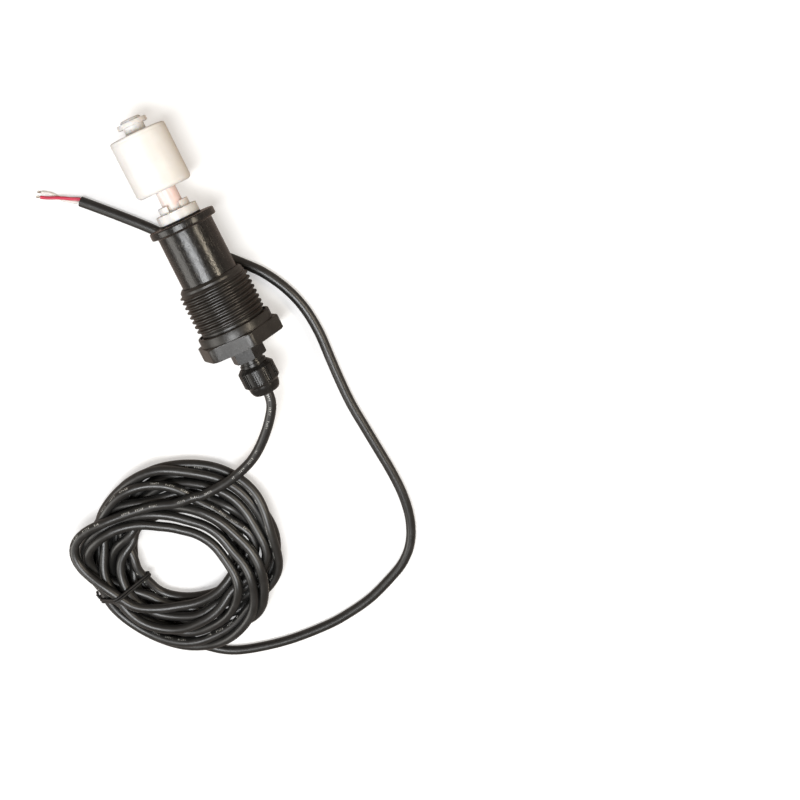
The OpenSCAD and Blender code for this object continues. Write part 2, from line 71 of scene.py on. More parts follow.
class Wire:
    """A value in a shader that adds its own nodes when Python works on it."""

    def __init__(self, nodes: "Nodes", socket: bpy.types.NodeSocket) -> None:
        """Wraps one output socket of a node tree."""
        self.nodes = nodes
        self.socket = socket

    def _math(self, operation: str, *values: "Wire | float") -> "Wire":
        """Adds one Math node and returns its result."""
        return self.nodes.node("ShaderNodeMath", {"operation": operation}, dict(enumerate(values)))

    def __add__(self, other: "Wire | float") -> "Wire":
        """Sum of two values."""
        return self._math("ADD", self, other)

    __radd__ = __add__

    def __sub__(self, other: "Wire | float") -> "Wire":
        """Difference of two values."""
        return self._math("SUBTRACT", self, other)

    def __rsub__(self, other: float) -> "Wire":
        """Difference with a plain number on the left."""
        return self._math("SUBTRACT", other, self)

    def __mul__(self, other: "Wire | float") -> "Wire":
        """Product of two values."""
        return self._math("MULTIPLY", self, other)

    __rmul__ = __mul__

    def __truediv__(self, other: "Wire | float") -> "Wire":
        """Quotient of two values."""
        return self._math("DIVIDE", self, other)

    def __lt__(self, other: "Wire | float") -> "Wire":
        """One where the value is below the other, else zero."""
        return self._math("LESS_THAN", self, other)

    def over(self, ends: Span) -> "Wire":
        """Stretches zero to one over a span of values."""
        low, high = ends
        return self * (high - low) + low

    def part(self) -> "Wire":
        """Fraction of the value after its whole part."""
        return self._math("FRACT", self)

    def within(self) -> "Wire":
        """The value held between zero and one."""
        return self.fade(0.0, 1.0, "LINEAR")

    def fade(self, low: float, high: float, how: str = "SMOOTHSTEP") -> "Wire":
        """Turns the value into a mask.

        Args:
            low: value at which the mask is zero.
            high: value at which the mask is one.
            how: interpolation between the two.

        Returns:
            The mask, from zero to one.
        """
        return self.nodes.node(
            "ShaderNodeMapRange",
            {"interpolation_type": how, "clamp": True},
            {"Value": self, "From Min": low, "From Max": high},
        )


class Nodes:
    """A node tree and the nodes that are added to it."""

    def __init__(self, tree: bpy.types.NodeTree) -> None:
        """Starts on a tree that is already there."""
        self.tree = tree

    def plug(self, socket: bpy.types.NodeSocket, value: Any) -> None:
        """Links a wire to a socket, or sets a plain value on it."""
        if isinstance(value, Wire):
            self.tree.links.new(value.socket, socket)
        elif isinstance(value, tuple) and socket.type == "RGBA":
            socket.default_value = (*value[:3], 1.0)
        else:
            socket.default_value = value

    def node(
        self,
        kind: str,
        settings: dict[str, Any] | None = None,
        sockets: dict[int | str, Any] | None = None,
        output: int | str = 0,
    ) -> Wire:
        """Adds any node.

        Args:
            kind: the node's type.
            settings: properties that are set first.
            sockets: values or wires for its inputs, by name or number.
            output: the output that is returned.

        Returns:
            The chosen output as a wire.
        """
        made = self.tree.nodes.new(kind)
        for key, value in (settings or {}).items():
            setattr(made, key, value)
        for key, value in (sockets or {}).items():
            self.plug(made.inputs[key], value)
        return Wire(self, made.outputs[output])

    def place(self, stretch: Point = (1.0, 1.0, 1.0)) -> Wire:
        """Point on the surface in the row frame, in millimetres, stretched along each axis."""
        raw = self.node("ShaderNodeTexCoord", output="Object")
        factors = tuple(1.0 / (MM * s) for s in stretch)
        return self.node("ShaderNodeVectorMath", {"operation": "MULTIPLY"}, {0: raw, 1: factors})

    def noise(
        self, size: float, detail: float = 2.0, at: Wire | None = None, rough: float = 0.5
    ) -> Wire:
        """Soft noise whose features are about size millimetres across."""
        return self.node(
            "ShaderNodeTexNoise",
            {"noise_dimensions": "3D"},
            {"Vector": at or self.place(), "Scale": 1.0 / size, "Detail": detail, "Roughness": rough},
        )

    def cells(self, size: float) -> Wire:
        """Distance from the middle of cells that are about size millimetres across."""
        return self.node(
            "ShaderNodeTexVoronoi",
            {"voronoi_dimensions": "3D", "feature": "F1"},
            {"Vector": self.place(), "Scale": 1.0 / size},
        )

    def blend(self, factor: Wire | float, first: Any, second: Any) -> Wire:
        """Mixes two colours by a factor."""
        return self.node(
            "ShaderNodeMix",
            {"data_type": "RGBA"},
            {"Factor": factor, 6: first, 7: second},
            output=2,
        )

    def stored(self, name: str) -> Wire:
        """A number that the mesh stores at its points."""
        return self.node("ShaderNodeAttribute", {"attribute_name": name}, output="Fac")

    def length(self, vector: Wire) -> Wire:
        """Length of a vector."""
        return self.node("ShaderNodeVectorMath", {"operation": "LENGTH"}, {0: vector}, "Value")

    def round_edges(self, radius: float) -> Wire:
        """A normal that rounds hard edges over radius millimetres."""
        return self.node("ShaderNodeBevel", {"samples": BEVEL_SAMPLES}, {"Radius": radius * MM})

    def edge(self, radius: float) -> Wire:
        """How sharply the surface turns within radius millimetres, zero on flat ground."""
        soft = self.round_edges(radius)
        true = self.node("ShaderNodeNewGeometry", output="Normal")
        return 1 - self.node(
            "ShaderNodeVectorMath", {"operation": "DOT_PRODUCT"}, {0: soft, 1: true}, "Value"
        )

    def relief(
        self, height: Wire, depth: float, strength: float = 1.0, under: Wire | None = None
    ) -> Wire:
        """Turns a height into a bumped normal.

        Args:
            height: the height, from zero to one.
            depth: millimetres between zero and one.
            strength: share of the effect.
            under: a normal that the bump is laid on.

        Returns:
            The normal for the shader.
        """
        sockets: dict[int | str, Any] = {
            "Height": height,
            "Distance": depth * MM,
            "Strength": strength,
        }
        if under is not None:
            sockets["Normal"] = under
        return self.node("ShaderNodeBump", {}, sockets)


class Recipe(Nodes):
    """A material that is made of one Principled shader."""

    def __init__(self, name: str) -> None:
        """Starts the material with its shader."""
        self.material = bpy.data.materials.new(name)
        self.material.use_nodes = True
        super().__init__(self.material.node_tree)
        self.tree.nodes.clear()
        surface = self.tree.nodes.new("ShaderNodeOutputMaterial").inputs["Surface"]
        self.shader = self.tree.nodes.new("ShaderNodeBsdfPrincipled")
        self.tree.links.new(self.shader.outputs["BSDF"], surface)

    def finish(self, **values: Any) -> bpy.types.Material:
        """Sets the shader's sockets and returns the material.

        Args:
            values: socket names with underscores for spaces, and their values or wires.

        Returns:
            The finished material.
        """
        for name, value in values.items():
            self.plug(self.shader.inputs[name.replace("_", " ")], value)
        return self.material


@dataclass(frozen=True)
class Coat:
    """What the opaque finishes share: the material's name and the two tones of the colour."""

    name: str
    colour: Colour
    deep: Colour


@dataclass(frozen=True)
class Moulded(Coat):
    """A moulded plastic or rubber with mottling, grain, dust and paler edges, which are partly wear and
    partly painted edge highlight.
    """

    dust: Colour = (0.1, 0.1, 0.1)
    dust_share: float = 0.1
    mottle: float = 2.0
    grain: float = 0.2
    grain_depth: float = 0.01
    rough: Span = (0.4, 0.6)
    speck: float = 3.5
    speck_share: float = 0.16
    speck_patch: float = 1.7
    edge_wear_and_glint: float = 0.1
    edge_wear_and_glint_colour: Colour = (0.05, 0.05, 0.05)
    edge_wear_and_glint_reach: float = 1.6
    edge_wear_and_glint_gain: float = 6.0
    edge_wear_and_glint_patch: float = 0.8
    edge: float = 0.1
    specular: float = 0.5
    sheen: float = 0.0
    sheen_tint: Colour = (0.75, 0.36, 0.18)
    sheen_spread: float = 0.4
    glow: float = 0.0
    glow_depth: float = 1.2
    glow_reach: Colour = (1.0, 0.75, 0.55)
    blush: float = 0.0
    blush_colour: Colour = (0.86, 0.66, 0.63)
    blush_span: Span = (22.0, 50.0)
    blush_ends: Span = (2.5, 4.0)
    blush_radius: Span = (5.0, 4.4)
    blush_side: Span = (0.6, 2.2)
    blush_left: float = 0.4
    axis_height: float = 16.0

    def _tinted(self, r: Recipe, tone: Wire) -> Wire:
        """Tints pink what lies close to the switch's axis along the stem, fully on its right side and
        less on its left.
        """
        flat = r.node(
            "ShaderNodeVectorMath",
            {"operation": "MULTIPLY_ADD"},
            {0: r.place(), 1: (1.0, 0.0, 1.0), 2: (0.0, 0.0, -self.axis_height)},
        )
        across = r.node("ShaderNodeSeparateXYZ", {}, {0: flat}, "X")
        along = r.node("ShaderNodeSeparateXYZ", {}, {0: r.place()}, "Y")
        low, high = self.blush_span
        low_fade, high_fade = self.blush_ends
        shown = along.fade(low, low + low_fade) * along.fade(high, high - high_fade)
        right = across.fade(*self.blush_side) * (1.0 - self.blush_left) + self.blush_left
        share = r.length(flat).fade(*self.blush_radius) * right * shown
        return r.blend(share * self.blush, tone, self.blush_colour)

    def make(self) -> bpy.types.Material:
        """Builds the material."""
        r = Recipe(self.name)
        cloud = r.noise(self.mottle, 4.0).fade(0.3, 0.7)
        grain = r.noise(self.grain, 3.0, rough=0.65)
        patch = r.noise(self.speck_patch, 2.0).fade(0.5, 0.62)
        speck = (r.cells(self.grain * self.speck) < self.speck_share) * patch
        # Paler edges: partly wear, partly painted highlight that stands in for glints on ribs and
        # thread crests.
        edge_turn = r.edge(self.edge * self.edge_wear_and_glint_reach) * self.edge_wear_and_glint_gain
        edge_wear_and_glint_mask = (edge_turn * r.noise(self.edge_wear_and_glint_patch, 3.0)).within() * self.edge_wear_and_glint
        tone = r.blend(cloud, self.deep, self.colour)
        tone = r.blend(grain.fade(0.55, 0.8) * self.dust_share, tone, self.dust)
        tone = r.blend((speck * (self.dust_share * 3.0)).within(), tone, self.dust)
        tone = r.blend(edge_wear_and_glint_mask, tone, self.edge_wear_and_glint_colour)
        if self.blush:
            tone = self._tinted(r, tone)
        gloss = r.noise(self.mottle * 0.6, 3.0).over(self.rough)
        return r.finish(
            Base_Color=tone,
            Roughness=gloss + edge_wear_and_glint_mask * 0.2,
            Normal=r.relief(grain, self.grain_depth, 0.8, r.round_edges(self.edge)),
            Specular_IOR_Level=self.specular,
            Sheen_Weight=self.sheen,
            Sheen_Tint=self.sheen_tint,
            Sheen_Roughness=self.sheen_spread,
            Subsurface_Weight=self.glow,
            Subsurface_Radius=self.glow_reach,
            Subsurface_Scale=self.glow_depth * MM,
        )


@dataclass(frozen=True)
class ScratchedGloss(Coat):
    """A dark glossy tube with fine scratches along and across it, specks and dust."""

    scratch: Colour = (0.3, 0.27, 0.23)
    rough: Span = (0.13, 0.3)
    scuff_grain: Point = (0.22, 2.6, 0.22)
    nick_grain: Point = (2.0, 0.2, 2.0)
    wave_grain: Point = (0.9, 3.0, 0.9)
    scuff_patch: float = 4.0
    nick_patch: float = 3.0
    speck: float = 0.6
    speck_share: float = 0.17
    speck_patch: float = 2.4
    marked: float = 0.28
    dulled: float = 0.2
    mark_depth: float = 0.022
    wave_depth: float = 0.1
    edge: float = 0.2
    edge_wear_and_glint: float = 0.35
    edge_wear_and_glint_reach: float = 0.35
    edge_wear_and_glint_gain: float = 5.0
    specular: float = 0.42
    sheen: float = 0.12
    sheen_tint: Colour = (0.7, 0.3, 0.14)
    sheen_spread: float = 0.4

    def make(self) -> bpy.types.Material:
        """Builds the material."""
        r = Recipe(self.name)
        lines = r.noise(1.0, 4.0, r.place(self.scuff_grain), 0.6)
        strokes = r.noise(1.0, 3.0, r.place(self.nick_grain), 0.6)
        scuff = lines.fade(0.54, 0.66) * r.noise(self.scuff_patch, 2.0).fade(0.38, 0.58)
        nick = strokes.fade(0.58, 0.68) * r.noise(self.nick_patch, 2.0).fade(0.4, 0.58)
        patch = r.noise(self.speck_patch, 2.0).fade(0.45, 0.58)
        speck = (r.cells(self.speck) < self.speck_share) * patch
        marks = (scuff * 0.6 + nick * 0.5 + speck * 0.7).within()
        tone = r.blend(r.noise(7.0, 3.0), self.deep, self.colour)
        tone = r.blend(marks * self.marked, tone, self.scratch)
        # Paler edges: partly wear, partly painted edge highlight.
        edge_wear_and_glint_mask = (r.edge(self.edge_wear_and_glint_reach) * self.edge_wear_and_glint_gain * r.noise(0.9, 3.0)).within()
        tone = r.blend(edge_wear_and_glint_mask * self.edge_wear_and_glint, tone, self.scratch)
        gloss = r.noise(2.2, 4.0).over(self.rough) + marks * self.dulled
        waves = r.noise(1.0, 3.0, r.place(self.wave_grain))
        under = r.relief(waves, self.wave_depth, 0.7, r.round_edges(self.edge))
        height = lines * 0.7 + strokes * 0.5 + speck * 0.5
        return r.finish(
            Base_Color=tone,
            Roughness=gloss,
            Normal=r.relief(height, self.mark_depth, 0.8, under),
            Specular_IOR_Level=self.specular,
            Sheen_Weight=self.sheen,
            Sheen_Tint=self.sheen_tint,
            Sheen_Roughness=self.sheen_spread,
        )


@dataclass(frozen=True)
class Jacket(Coat):
    """The cable's dark jacket with one generic row of small ticks along it."""

    ink: Colour = (0.6, 0.6, 0.57)
    row_width: float = 0.085
    tick: float = 0.8
    tick_share: float = 0.5
    word: float = 6.4
    word_share: float = 0.6
    phrase: float = 4.3
    phrase_share: float = 0.68
    rough: Span = (0.33, 0.41)
    scuffed: float = 0.05
    relief: float = 0.02
    specular: float = 0.72

    def make(self) -> bpy.types.Material:
        """Builds the material."""
        r = Recipe(self.name)
        along = r.stored("along")
        row = r.stored("side").fade(1.0 - self.row_width * 0.5, 1.0 - self.row_width * 0.25)
        stroke = (along / self.tick).part() < self.tick_share
        word = (along / self.word).part() < self.word_share
        phrase = (along / (self.word * self.phrase)).part() < self.phrase_share
        ink = row * stroke * (word * phrase) * r.noise(0.45, 1.0).fade(0.42, 0.56)
        scuff = r.noise(6.0, 4.0).fade(0.45, 0.75)
        tone = r.blend(scuff, self.deep, self.colour)
        dust = (r.cells(0.7) < 0.12) * r.noise(4.0, 2.0).fade(0.5, 0.6)
        tone = r.blend((ink * 0.8 + dust * 0.15).within(), tone, self.ink)
        gloss = r.noise(3.0, 3.0).over(self.rough) + scuff * self.scuffed
        ripple = r.noise(2.5, 2.0) * 0.7 + r.noise(0.25, 3.0) * 0.3
        return r.finish(
            Base_Color=tone,
            Roughness=gloss,
            Normal=r.relief(ripple, self.relief, 0.5),
            Specular_IOR_Level=self.specular,
        )


@dataclass(frozen=True)
class Insulation(Coat):
    """Smooth core insulation with faint drawing lines and a glossy skin."""

    rough: Span = (0.28, 0.43)
    relief: float = 0.01
    glow: float = 0.15
    glow_depth: float = 0.5
    glow_reach: Colour = (1.0, 0.6, 0.5)

    def make(self) -> bpy.types.Material:
        """Builds the material."""
        r = Recipe(self.name)
        return r.finish(
            Base_Color=r.blend(r.noise(1.6, 3.0), self.deep, self.colour),
            Roughness=r.noise(0.9, 3.0).over(self.rough),
            Normal=r.relief(r.noise(0.4, 2.0), self.relief, 0.6),
            Subsurface_Weight=self.glow,
            Subsurface_Radius=self.glow_reach,
            Subsurface_Scale=self.glow_depth * MM,
        )


@dataclass(frozen=True)
class TinnedMetal(Coat):
    """Tinned copper or spring steel with dull spots."""

    rough: Span = (0.3, 0.5)
    dulled: float = 0.1
    relief: float = 0.008

    def make(self) -> bpy.types.Material:
        """Builds the material."""
        r = Recipe(self.name)
        dull = r.noise(0.6, 4.0).fade(0.35, 0.7)
        return r.finish(
            Base_Color=r.blend(dull, self.colour, self.deep),
            Roughness=r.noise(0.3, 3.0).over(self.rough) + dull * self.dulled,
            Metallic=1.0,
            Normal=r.relief(r.noise(0.12, 2.0), self.relief, 0.6),
        )


@dataclass(frozen=True)
class ClearGlass:
    """The thin glass of the reed capsule, with faint draw lines."""

    name: str
    colour: Colour
    pale: Colour = (0.9, 1.0, 0.95)
    draw_grain: Point = (0.3, 5.0, 0.3)
    rough: Span = (0.02, 0.07)
    cover: Span = (0.3, 0.4)
    relief: float = 0.01
    ior: float = 1.5

    def make(self) -> bpy.types.Material:
        """Builds the material."""
        r = Recipe(self.name)
        lines = r.noise(1.0, 2.0, r.place(self.draw_grain))
        return r.finish(
            Base_Color=r.blend(r.noise(1.5, 2.0), self.colour, self.pale),
            Roughness=lines.over(self.rough),
            Alpha=lines.over(self.cover),
            Normal=r.relief(lines, self.relief, 0.4),
            IOR=self.ior,
        )


class Finish(Enum):
    """Every finish of the switch, each with the name of its material."""

    FLOAT_WHITE = Moulded(
        "float_white", (0.93, 0.92, 0.905), (0.89, 0.875, 0.855),
        dust=(0.7, 0.64, 0.58), dust_share=0.04, mottle=6.0, grain=0.3, grain_depth=0.006,
        rough=(0.36, 0.48), edge_wear_and_glint=0.0, edge_wear_and_glint_colour=(0.9, 0.88, 0.85), edge=0.25, glow=0.1,
        specular=0.4,
    )
    NATURAL = Moulded(
        "natural_plastic", (0.82, 0.81, 0.8), (0.77, 0.755, 0.74),
        dust=(0.5, 0.42, 0.36), dust_share=0.06, mottle=3.0, grain=0.25, grain_depth=0.008,
        rough=(0.3, 0.42), edge_wear_and_glint=0.05, edge_wear_and_glint_colour=(0.95, 0.92, 0.88), edge=0.15, glow=0.4,
        glow_depth=2.5, blush=0.9,
    )
    # Its paler edges are partly painted highlight along the thread crests.
    BUSHING = Moulded(
        "bushing_black", (0.022, 0.0205, 0.018), (0.012, 0.011, 0.0095),
        dust=(0.16, 0.15, 0.13), dust_share=0.2, mottle=5.0, grain_depth=0.035,
        rough=(0.28, 0.42), edge_wear_and_glint=0.35, edge_wear_and_glint_colour=(0.12, 0.115, 0.105), edge=0.09, sheen=0.05,
    )
    # Its paler edges are partly painted highlight along the ribs.
    GLAND = Moulded(
        "gland_grey", (0.02, 0.0195, 0.019), (0.011, 0.0105, 0.01),
        dust=(0.2, 0.19, 0.17), dust_share=0.12, mottle=3.0, grain=0.14, rough=(0.2, 0.32),
        edge_wear_and_glint=0.35, edge_wear_and_glint_colour=(0.14, 0.14, 0.135), edge=0.09, specular=0.3, sheen=0.03,
    )
    RUBBER = Moulded(
        "seal_rubber", (0.014, 0.014, 0.014), (0.008, 0.008, 0.008),
        dust=(0.08, 0.07, 0.06), rough=(0.5, 0.7),
    )
    SLEEVE = Moulded(
        "sleeve_black", (0.018, 0.018, 0.018), (0.01, 0.01, 0.01),
        dust=(0.1, 0.1, 0.09), edge_wear_and_glint_colour=(0.06, 0.06, 0.06),
    )
    RESIN = Moulded(
        "resin_dark", (0.035, 0.042, 0.042), (0.02, 0.024, 0.024),
        dust_share=0.05, mottle=2.5, grain=0.3, rough=(0.12, 0.25), edge_wear_and_glint=0.0,
        edge_wear_and_glint_colour=(0.1, 0.1, 0.1),
    )
    FERRITE = Moulded(
        "ferrite", (0.1, 0.1, 0.105), (0.06, 0.06, 0.064),
        dust=(0.2, 0.19, 0.18), dust_share=0.2, mottle=1.6, grain=0.12, grain_depth=0.02,
        rough=(0.5, 0.7), edge_wear_and_glint=0.4, edge_wear_and_glint_colour=(0.25, 0.25, 0.25), edge=0.2,
    )
    TUBE = ScratchedGloss("tube_black", (0.016, 0.0155, 0.015), (0.008, 0.008, 0.0075))
    JACKET = Jacket("cable_jacket", (0.02, 0.02, 0.0195), (0.011, 0.011, 0.0105))
    RED = Insulation("insulation_red", (0.72, 0.07, 0.13), (0.56, 0.04, 0.09))
    WHITE = Insulation("insulation_white", (0.88, 0.87, 0.85), (0.78, 0.77, 0.74))
    WIRE = TinnedMetal("bare_wire", (0.68, 0.62, 0.55), (0.5, 0.4, 0.32))
    GLASS = ClearGlass("glass_clear", (0.75, 0.9, 0.82))


class Paints:
    """Makes each finish once and lays it on pieces and nodes."""

    def __init__(self) -> None:
        """Starts with no material made."""
        self._made: dict[Finish, bpy.types.Material] = {}

    def of(self, finish: Finish) -> bpy.types.Material:
        """The material of a finish, made at its first use."""
        if finish not in self._made:
            self._made[finish] = finish.value.make()
        return self._made[finish]

    def coat(self, piece: bpy.types.Object, finish: Finish) -> None:
        """Lays a finish on a new piece."""
        piece.data.materials.clear()
        piece.data.materials.append(self.of(finish))

    def dress(self, node: str, finish: Finish) -> None:
        """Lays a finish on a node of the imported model."""
        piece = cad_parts[node]
        for slot in piece.material_slots:
            slot.material = self.of(finish)
        LOG.info("node %s wears %s", node, finish.value.name)


def add_object(
    name: str,
    points: Rows,
    faces: Sequence[Sequence[int]],
    body: Body,
    stored: dict[str, Rows] | None = None,
    sharp: float = 35.0,
) -> bpy.types.Object:
    """Makes a piece from points and faces.

    Args:
        name: name of the piece.
        points: its points in millimetres, in the row frame.
        faces: point numbers of each face, seen from outside.
        body: the body that it rides on.
        stored: numbers to store at the points, by name.
        sharp: angle in degrees from which an edge stays hard.

    Returns:
        The new object.
    """
    mesh = bpy.data.meshes.new(name)
    mesh.from_pydata((np.asarray(points) * MM).tolist(), [], [tuple(f) for f in faces])
    for key, values in (stored or {}).items():
        layer = mesh.attributes.new(key, "FLOAT", "POINT")
        layer.data.foreach_set("value", np.asarray(values, dtype=np.float32))
    mesh.polygons.foreach_set("use_smooth", [True] * len(mesh.polygons))
    mesh.set_sharp_from_angle(angle=math.radians(sharp))
    mesh.validate()
    piece = bpy.data.objects.new(name, mesh)
    bpy.context.scene.collection.objects.link(piece)
    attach(piece, body.value)
    LOG.info("piece %s: %d faces on %s", name, len(faces), body.value)
    return piece


def grid_faces(rows: int, columns: int) -> Faces:
    """Faces of a grid of points whose rows close on themselves.

    Args:
        rows: number of rows of points.
        columns: number of points in a row.

    Returns:
        The faces as point numbers.
    """
    faces = []
    for first in range(0, (rows - 1) * columns, columns):
        for k in range(columns):
            a, b = first + k, first + (k + 1) % columns
            faces.append((a, b, b + columns, a + columns))
    return faces


def closed_faces(rows: int, columns: int) -> Faces:
    """Faces of a grid that closes on itself both ways, like a ring.

    Args:
        rows: number of rows of points.
        columns: number of points in a row.

    Returns:
        The faces as point numbers.
    """
    top = (rows - 1) * columns
    last = [(top + k, top + (k + 1) % columns, (k + 1) % columns, k) for k in range(columns)]
    return grid_faces(rows, columns) + last


def revolve(radii: Rows, heights: Rows, angles: Rows, axis: float) -> Rows:
    """Lays rows of points round a line along y.

    Args:
        radii: distance of each point from the line, row by row.
        heights: y of each point, or one for each row.
        angles: angle of each column, from the side towards the top.
        axis: height of the line over the table.

    Returns:
        The points, row by row.
    """
    x = radii * np.cos(angles)
    z = radii * np.sin(angles) + axis
    return np.stack([x, np.broadcast_to(heights, x.shape), z], axis=2).reshape(-1, 3)


def strides(line: Rows) -> Rows:
    """Distance from each point of a line to the next."""
    return np.linalg.norm(np.diff(line, axis=0), axis=1)


def travel(line: Rows) -> Rows:
    """Distance along a line at each of its points."""
    return np.r_[0, np.cumsum(strides(line))]


def spread(line: Rows, count: int) -> Rows:
    """Lays a number of points evenly along a line, from its first to its last."""
    travelled = travel(line)
    places = np.linspace(0, travelled[-1], count)
    return np.stack([np.interp(places, travelled, column) for column in line.T], axis=1)


def unit(vector: Rows) -> Rows:
    """The same direction with a length of one."""
    return vector / np.linalg.norm(vector)


def even_steps(points: Rows, step: float) -> Rows:
    """Lays points at even steps along a smooth curve through others.

    Args:
        points: the points that the curve passes.
        step: distance between two points of the result.

    Returns:
        The new points.
    """
    ends = np.vstack([2 * points[0] - points[1], points, 2 * points[-1] - points[-2]])
    p0, p1, p2, p3 = ends[:-3], ends[1:-2], ends[2:-1], ends[3:]
    parts = []
    for t in np.arange(CURVE_PARTS) / CURVE_PARTS:
        parts.append(
            0.5 * (2 * p1 + (p2 - p0) * t + (2 * p0 - 5 * p1 + 4 * p2 - p3) * t * t
                   + (3 * p1 - p0 - 3 * p2 + p3) * t ** 3)
        )
    fine = np.vstack([np.stack(parts, axis=1).reshape(-1, points.shape[1]), points[-1]])
    return spread(fine, max(2, round(travel(fine)[-1] / step) + 1))


def tube_mesh(path: Rows, radius: float, sides: int, roll: float = 0.0) -> Tube:
    """Sweeps a round section along a path without twisting it.

    Args:
        path: centre points in millimetres.
        radius: radius of the section.
        sides: points round the section.
        roll: turn of the stored side value per millimetre, in radians.

    Returns:
        The points, the faces and the values to store at the points.
    """
    ways = np.gradient(path, axis=0)
    ways /= np.linalg.norm(ways, axis=1)[:, None]
    across = unit(UP - ways[0] * np.dot(UP, ways[0]))
    angles = np.arange(sides) * 2 * math.pi / sides
    rings, sides_seen = [], []
    travelled = travel(path)
    for centre, way, distance in zip(path, ways, travelled):
        across = unit(across - way * np.dot(across, way))
        other = np.cross(way, across)
        ring = np.outer(np.cos(angles), across) + np.outer(np.sin(angles), other)
        rings.append(centre + radius * ring)
        sides_seen.append(np.cos(angles - roll * distance))
    points = np.vstack(rings)
    faces = grid_faces(len(path), sides)
    end = (len(path) - 1) * sides
    faces.append(tuple(reversed(range(sides))))
    faces.append(tuple(range(end, end + sides)))
    stored = {"along": np.repeat(travelled, sides), "side": np.concatenate(sides_seen)}
    return points, faces, stored


@dataclass
class Camera:
    """The photograph's camera, in millimetres of the row frame."""

    at: Point = (132.96, 35.33, 440.0)
    right: Point = (0.90945, -0.41065, -0.06531)
    up: Point = (0.37077, 0.87197, -0.31967)
    back: Point = (0.18822, 0.26651, 0.94527)
    lens: float = 49.5
    sensor: float = 36.0
    sight: float = 10.0

    def build(self) -> None:
        """Adds the camera and makes it the scene's."""
        data = bpy.data.cameras.new("view")
        data.lens = self.lens
        data.sensor_width = self.sensor
        data.clip_end = self.sight
        eye = bpy.data.objects.new("view", data)
        turn = Matrix((self.right, self.up, self.back)).transposed()
        eye.matrix_world = Matrix.Translation(Vector(self.at) * MM) @ turn.to_4x4()
        bpy.context.scene.collection.objects.link(eye)
        bpy.context.scene.camera = eye


@dataclass
class Lamp:
    """One soft rectangular lamp aimed at the switch."""

    name: str
    at: Point
    size: Span
    power: float
    colour: Colour
    aim: Point = (0.0, -0.04, 0.0)

    def build(self) -> None:
        """Adds the lamp."""
        data = bpy.data.lights.new(self.name, "AREA")
        data.shape = "RECTANGLE"
        data.size, data.size_y = self.size
        data.energy = self.power
        data.color = self.colour
        lamp = bpy.data.objects.new(self.name, data)
        lamp.location = self.at
        way = Vector(self.aim) - Vector(self.at)
        lamp.rotation_euler = way.to_track_quat("-Z", "Y").to_euler()
        bpy.context.scene.collection.objects.link(lamp)


@dataclass
class Studio:
    """White floor, pale world and soft lamps."""

    floor_size: float = 6.0
    floor_colour: Colour = (0.62, 0.62, 0.62)
    floor_bounce: Colour = (0.26, 0.2, 0.16)
    mirrored: float = 0.2
    floor_lift: float = 0.45
    lift_span: Span = (300.0, 700.0)
    world_colour: Colour = (0.5, 0.39, 0.3)
    world_level: float = 0.3
    lamps: tuple[Lamp, ...] = (
        Lamp("window", (-0.03, -0.12, 0.85), (0.42, 0.25), 5.8, (0.97, 0.985, 1.0), (-0.03, -0.04, 0)),
        Lamp("left_fill", (-0.7, -0.06, 0.42), (0.4, 0.45), 2.3, (1.0, 0.98, 0.93)),
        Lamp("side_strip", (0.62, -0.06, 0.45), (0.4, 0.04), 2.2, (1.0, 0.88, 0.7)),
    )

    def build(self) -> None:
        """Adds the floor, the world and the lamps."""
        half = self.floor_size / 2
        corners = [(-half, -half, 0), (half, -half, 0), (half, half, 0), (-half, half, 0)]
        mesh = bpy.data.meshes.new("floor")
        mesh.from_pydata(corners, [], [(0, 1, 2, 3)])
        floor = bpy.data.objects.new("floor", mesh)
        bpy.context.scene.collection.objects.link(floor)
        r = Recipe("floor_white")
        seen = self._seen(r)
        near, far = self.lift_span
        lift = ((r.length(r.place()) - near) / (far - near)).within().over((self.floor_lift, 1.0))
        white = r.blend(lift, BLACK, WHITE)
        mesh.materials.append(
            r.finish(
                Base_Color=r.blend(seen, self.floor_bounce, self.floor_colour),
                Roughness=0.9,
                Specular_IOR_Level=0.0,
                Emission_Color=r.blend(seen, BLACK, white),
                Emission_Strength=1.0,
            )
        )
        self._world()
        for lamp in self.lamps:
            lamp.build()
        LOG.info("studio has %d lamps", len(self.lamps))

    def _seen(self, r: Nodes) -> Wire:
        """One for what the camera sees straight or through glass, and a share for mirrors."""
        camera = r.node("ShaderNodeLightPath", output="Is Camera Ray")
        mirror = r.node("ShaderNodeLightPath", output="Is Glossy Ray")
        glass = r.node("ShaderNodeLightPath", output="Is Transmission Ray")
        return (camera + mirror * self.mirrored + glass).within()

    def _world(self) -> None:
        """Makes the pale world."""
        world = bpy.data.worlds.new("pale_room")
        world.use_nodes = True
        r = Nodes(world.node_tree)
        seen = self._seen(r)
        back = world.node_tree.nodes["Background"].inputs
        r.plug(back["Color"], r.blend(seen, self.world_colour, WHITE))
        r.plug(back["Strength"], seen.over((self.world_level, 1.0)))
        bpy.context.scene.world = world


def even_turn(first: float, step: float, level: float, radii: Sequence[float]) -> tuple[Point, ...]:
    """Angle, radius and level of each place of a turn that stays level, at even angles."""
    return tuple((first + step * number, radius, level) for number, radius in enumerate(radii))


@dataclass(frozen=True)
class Settling:
    """One run in which the strands sink and push each other apart.

    Attributes:
        step: distance between two points of the cable, in millimetres.
        rounds: number of rounds.
        fall: millimetres that a free point sinks in a round.
        pull: share of its sideways move that a point keeps in a round.
    """

    step: float
    rounds: int
    fall: float
    pull: float


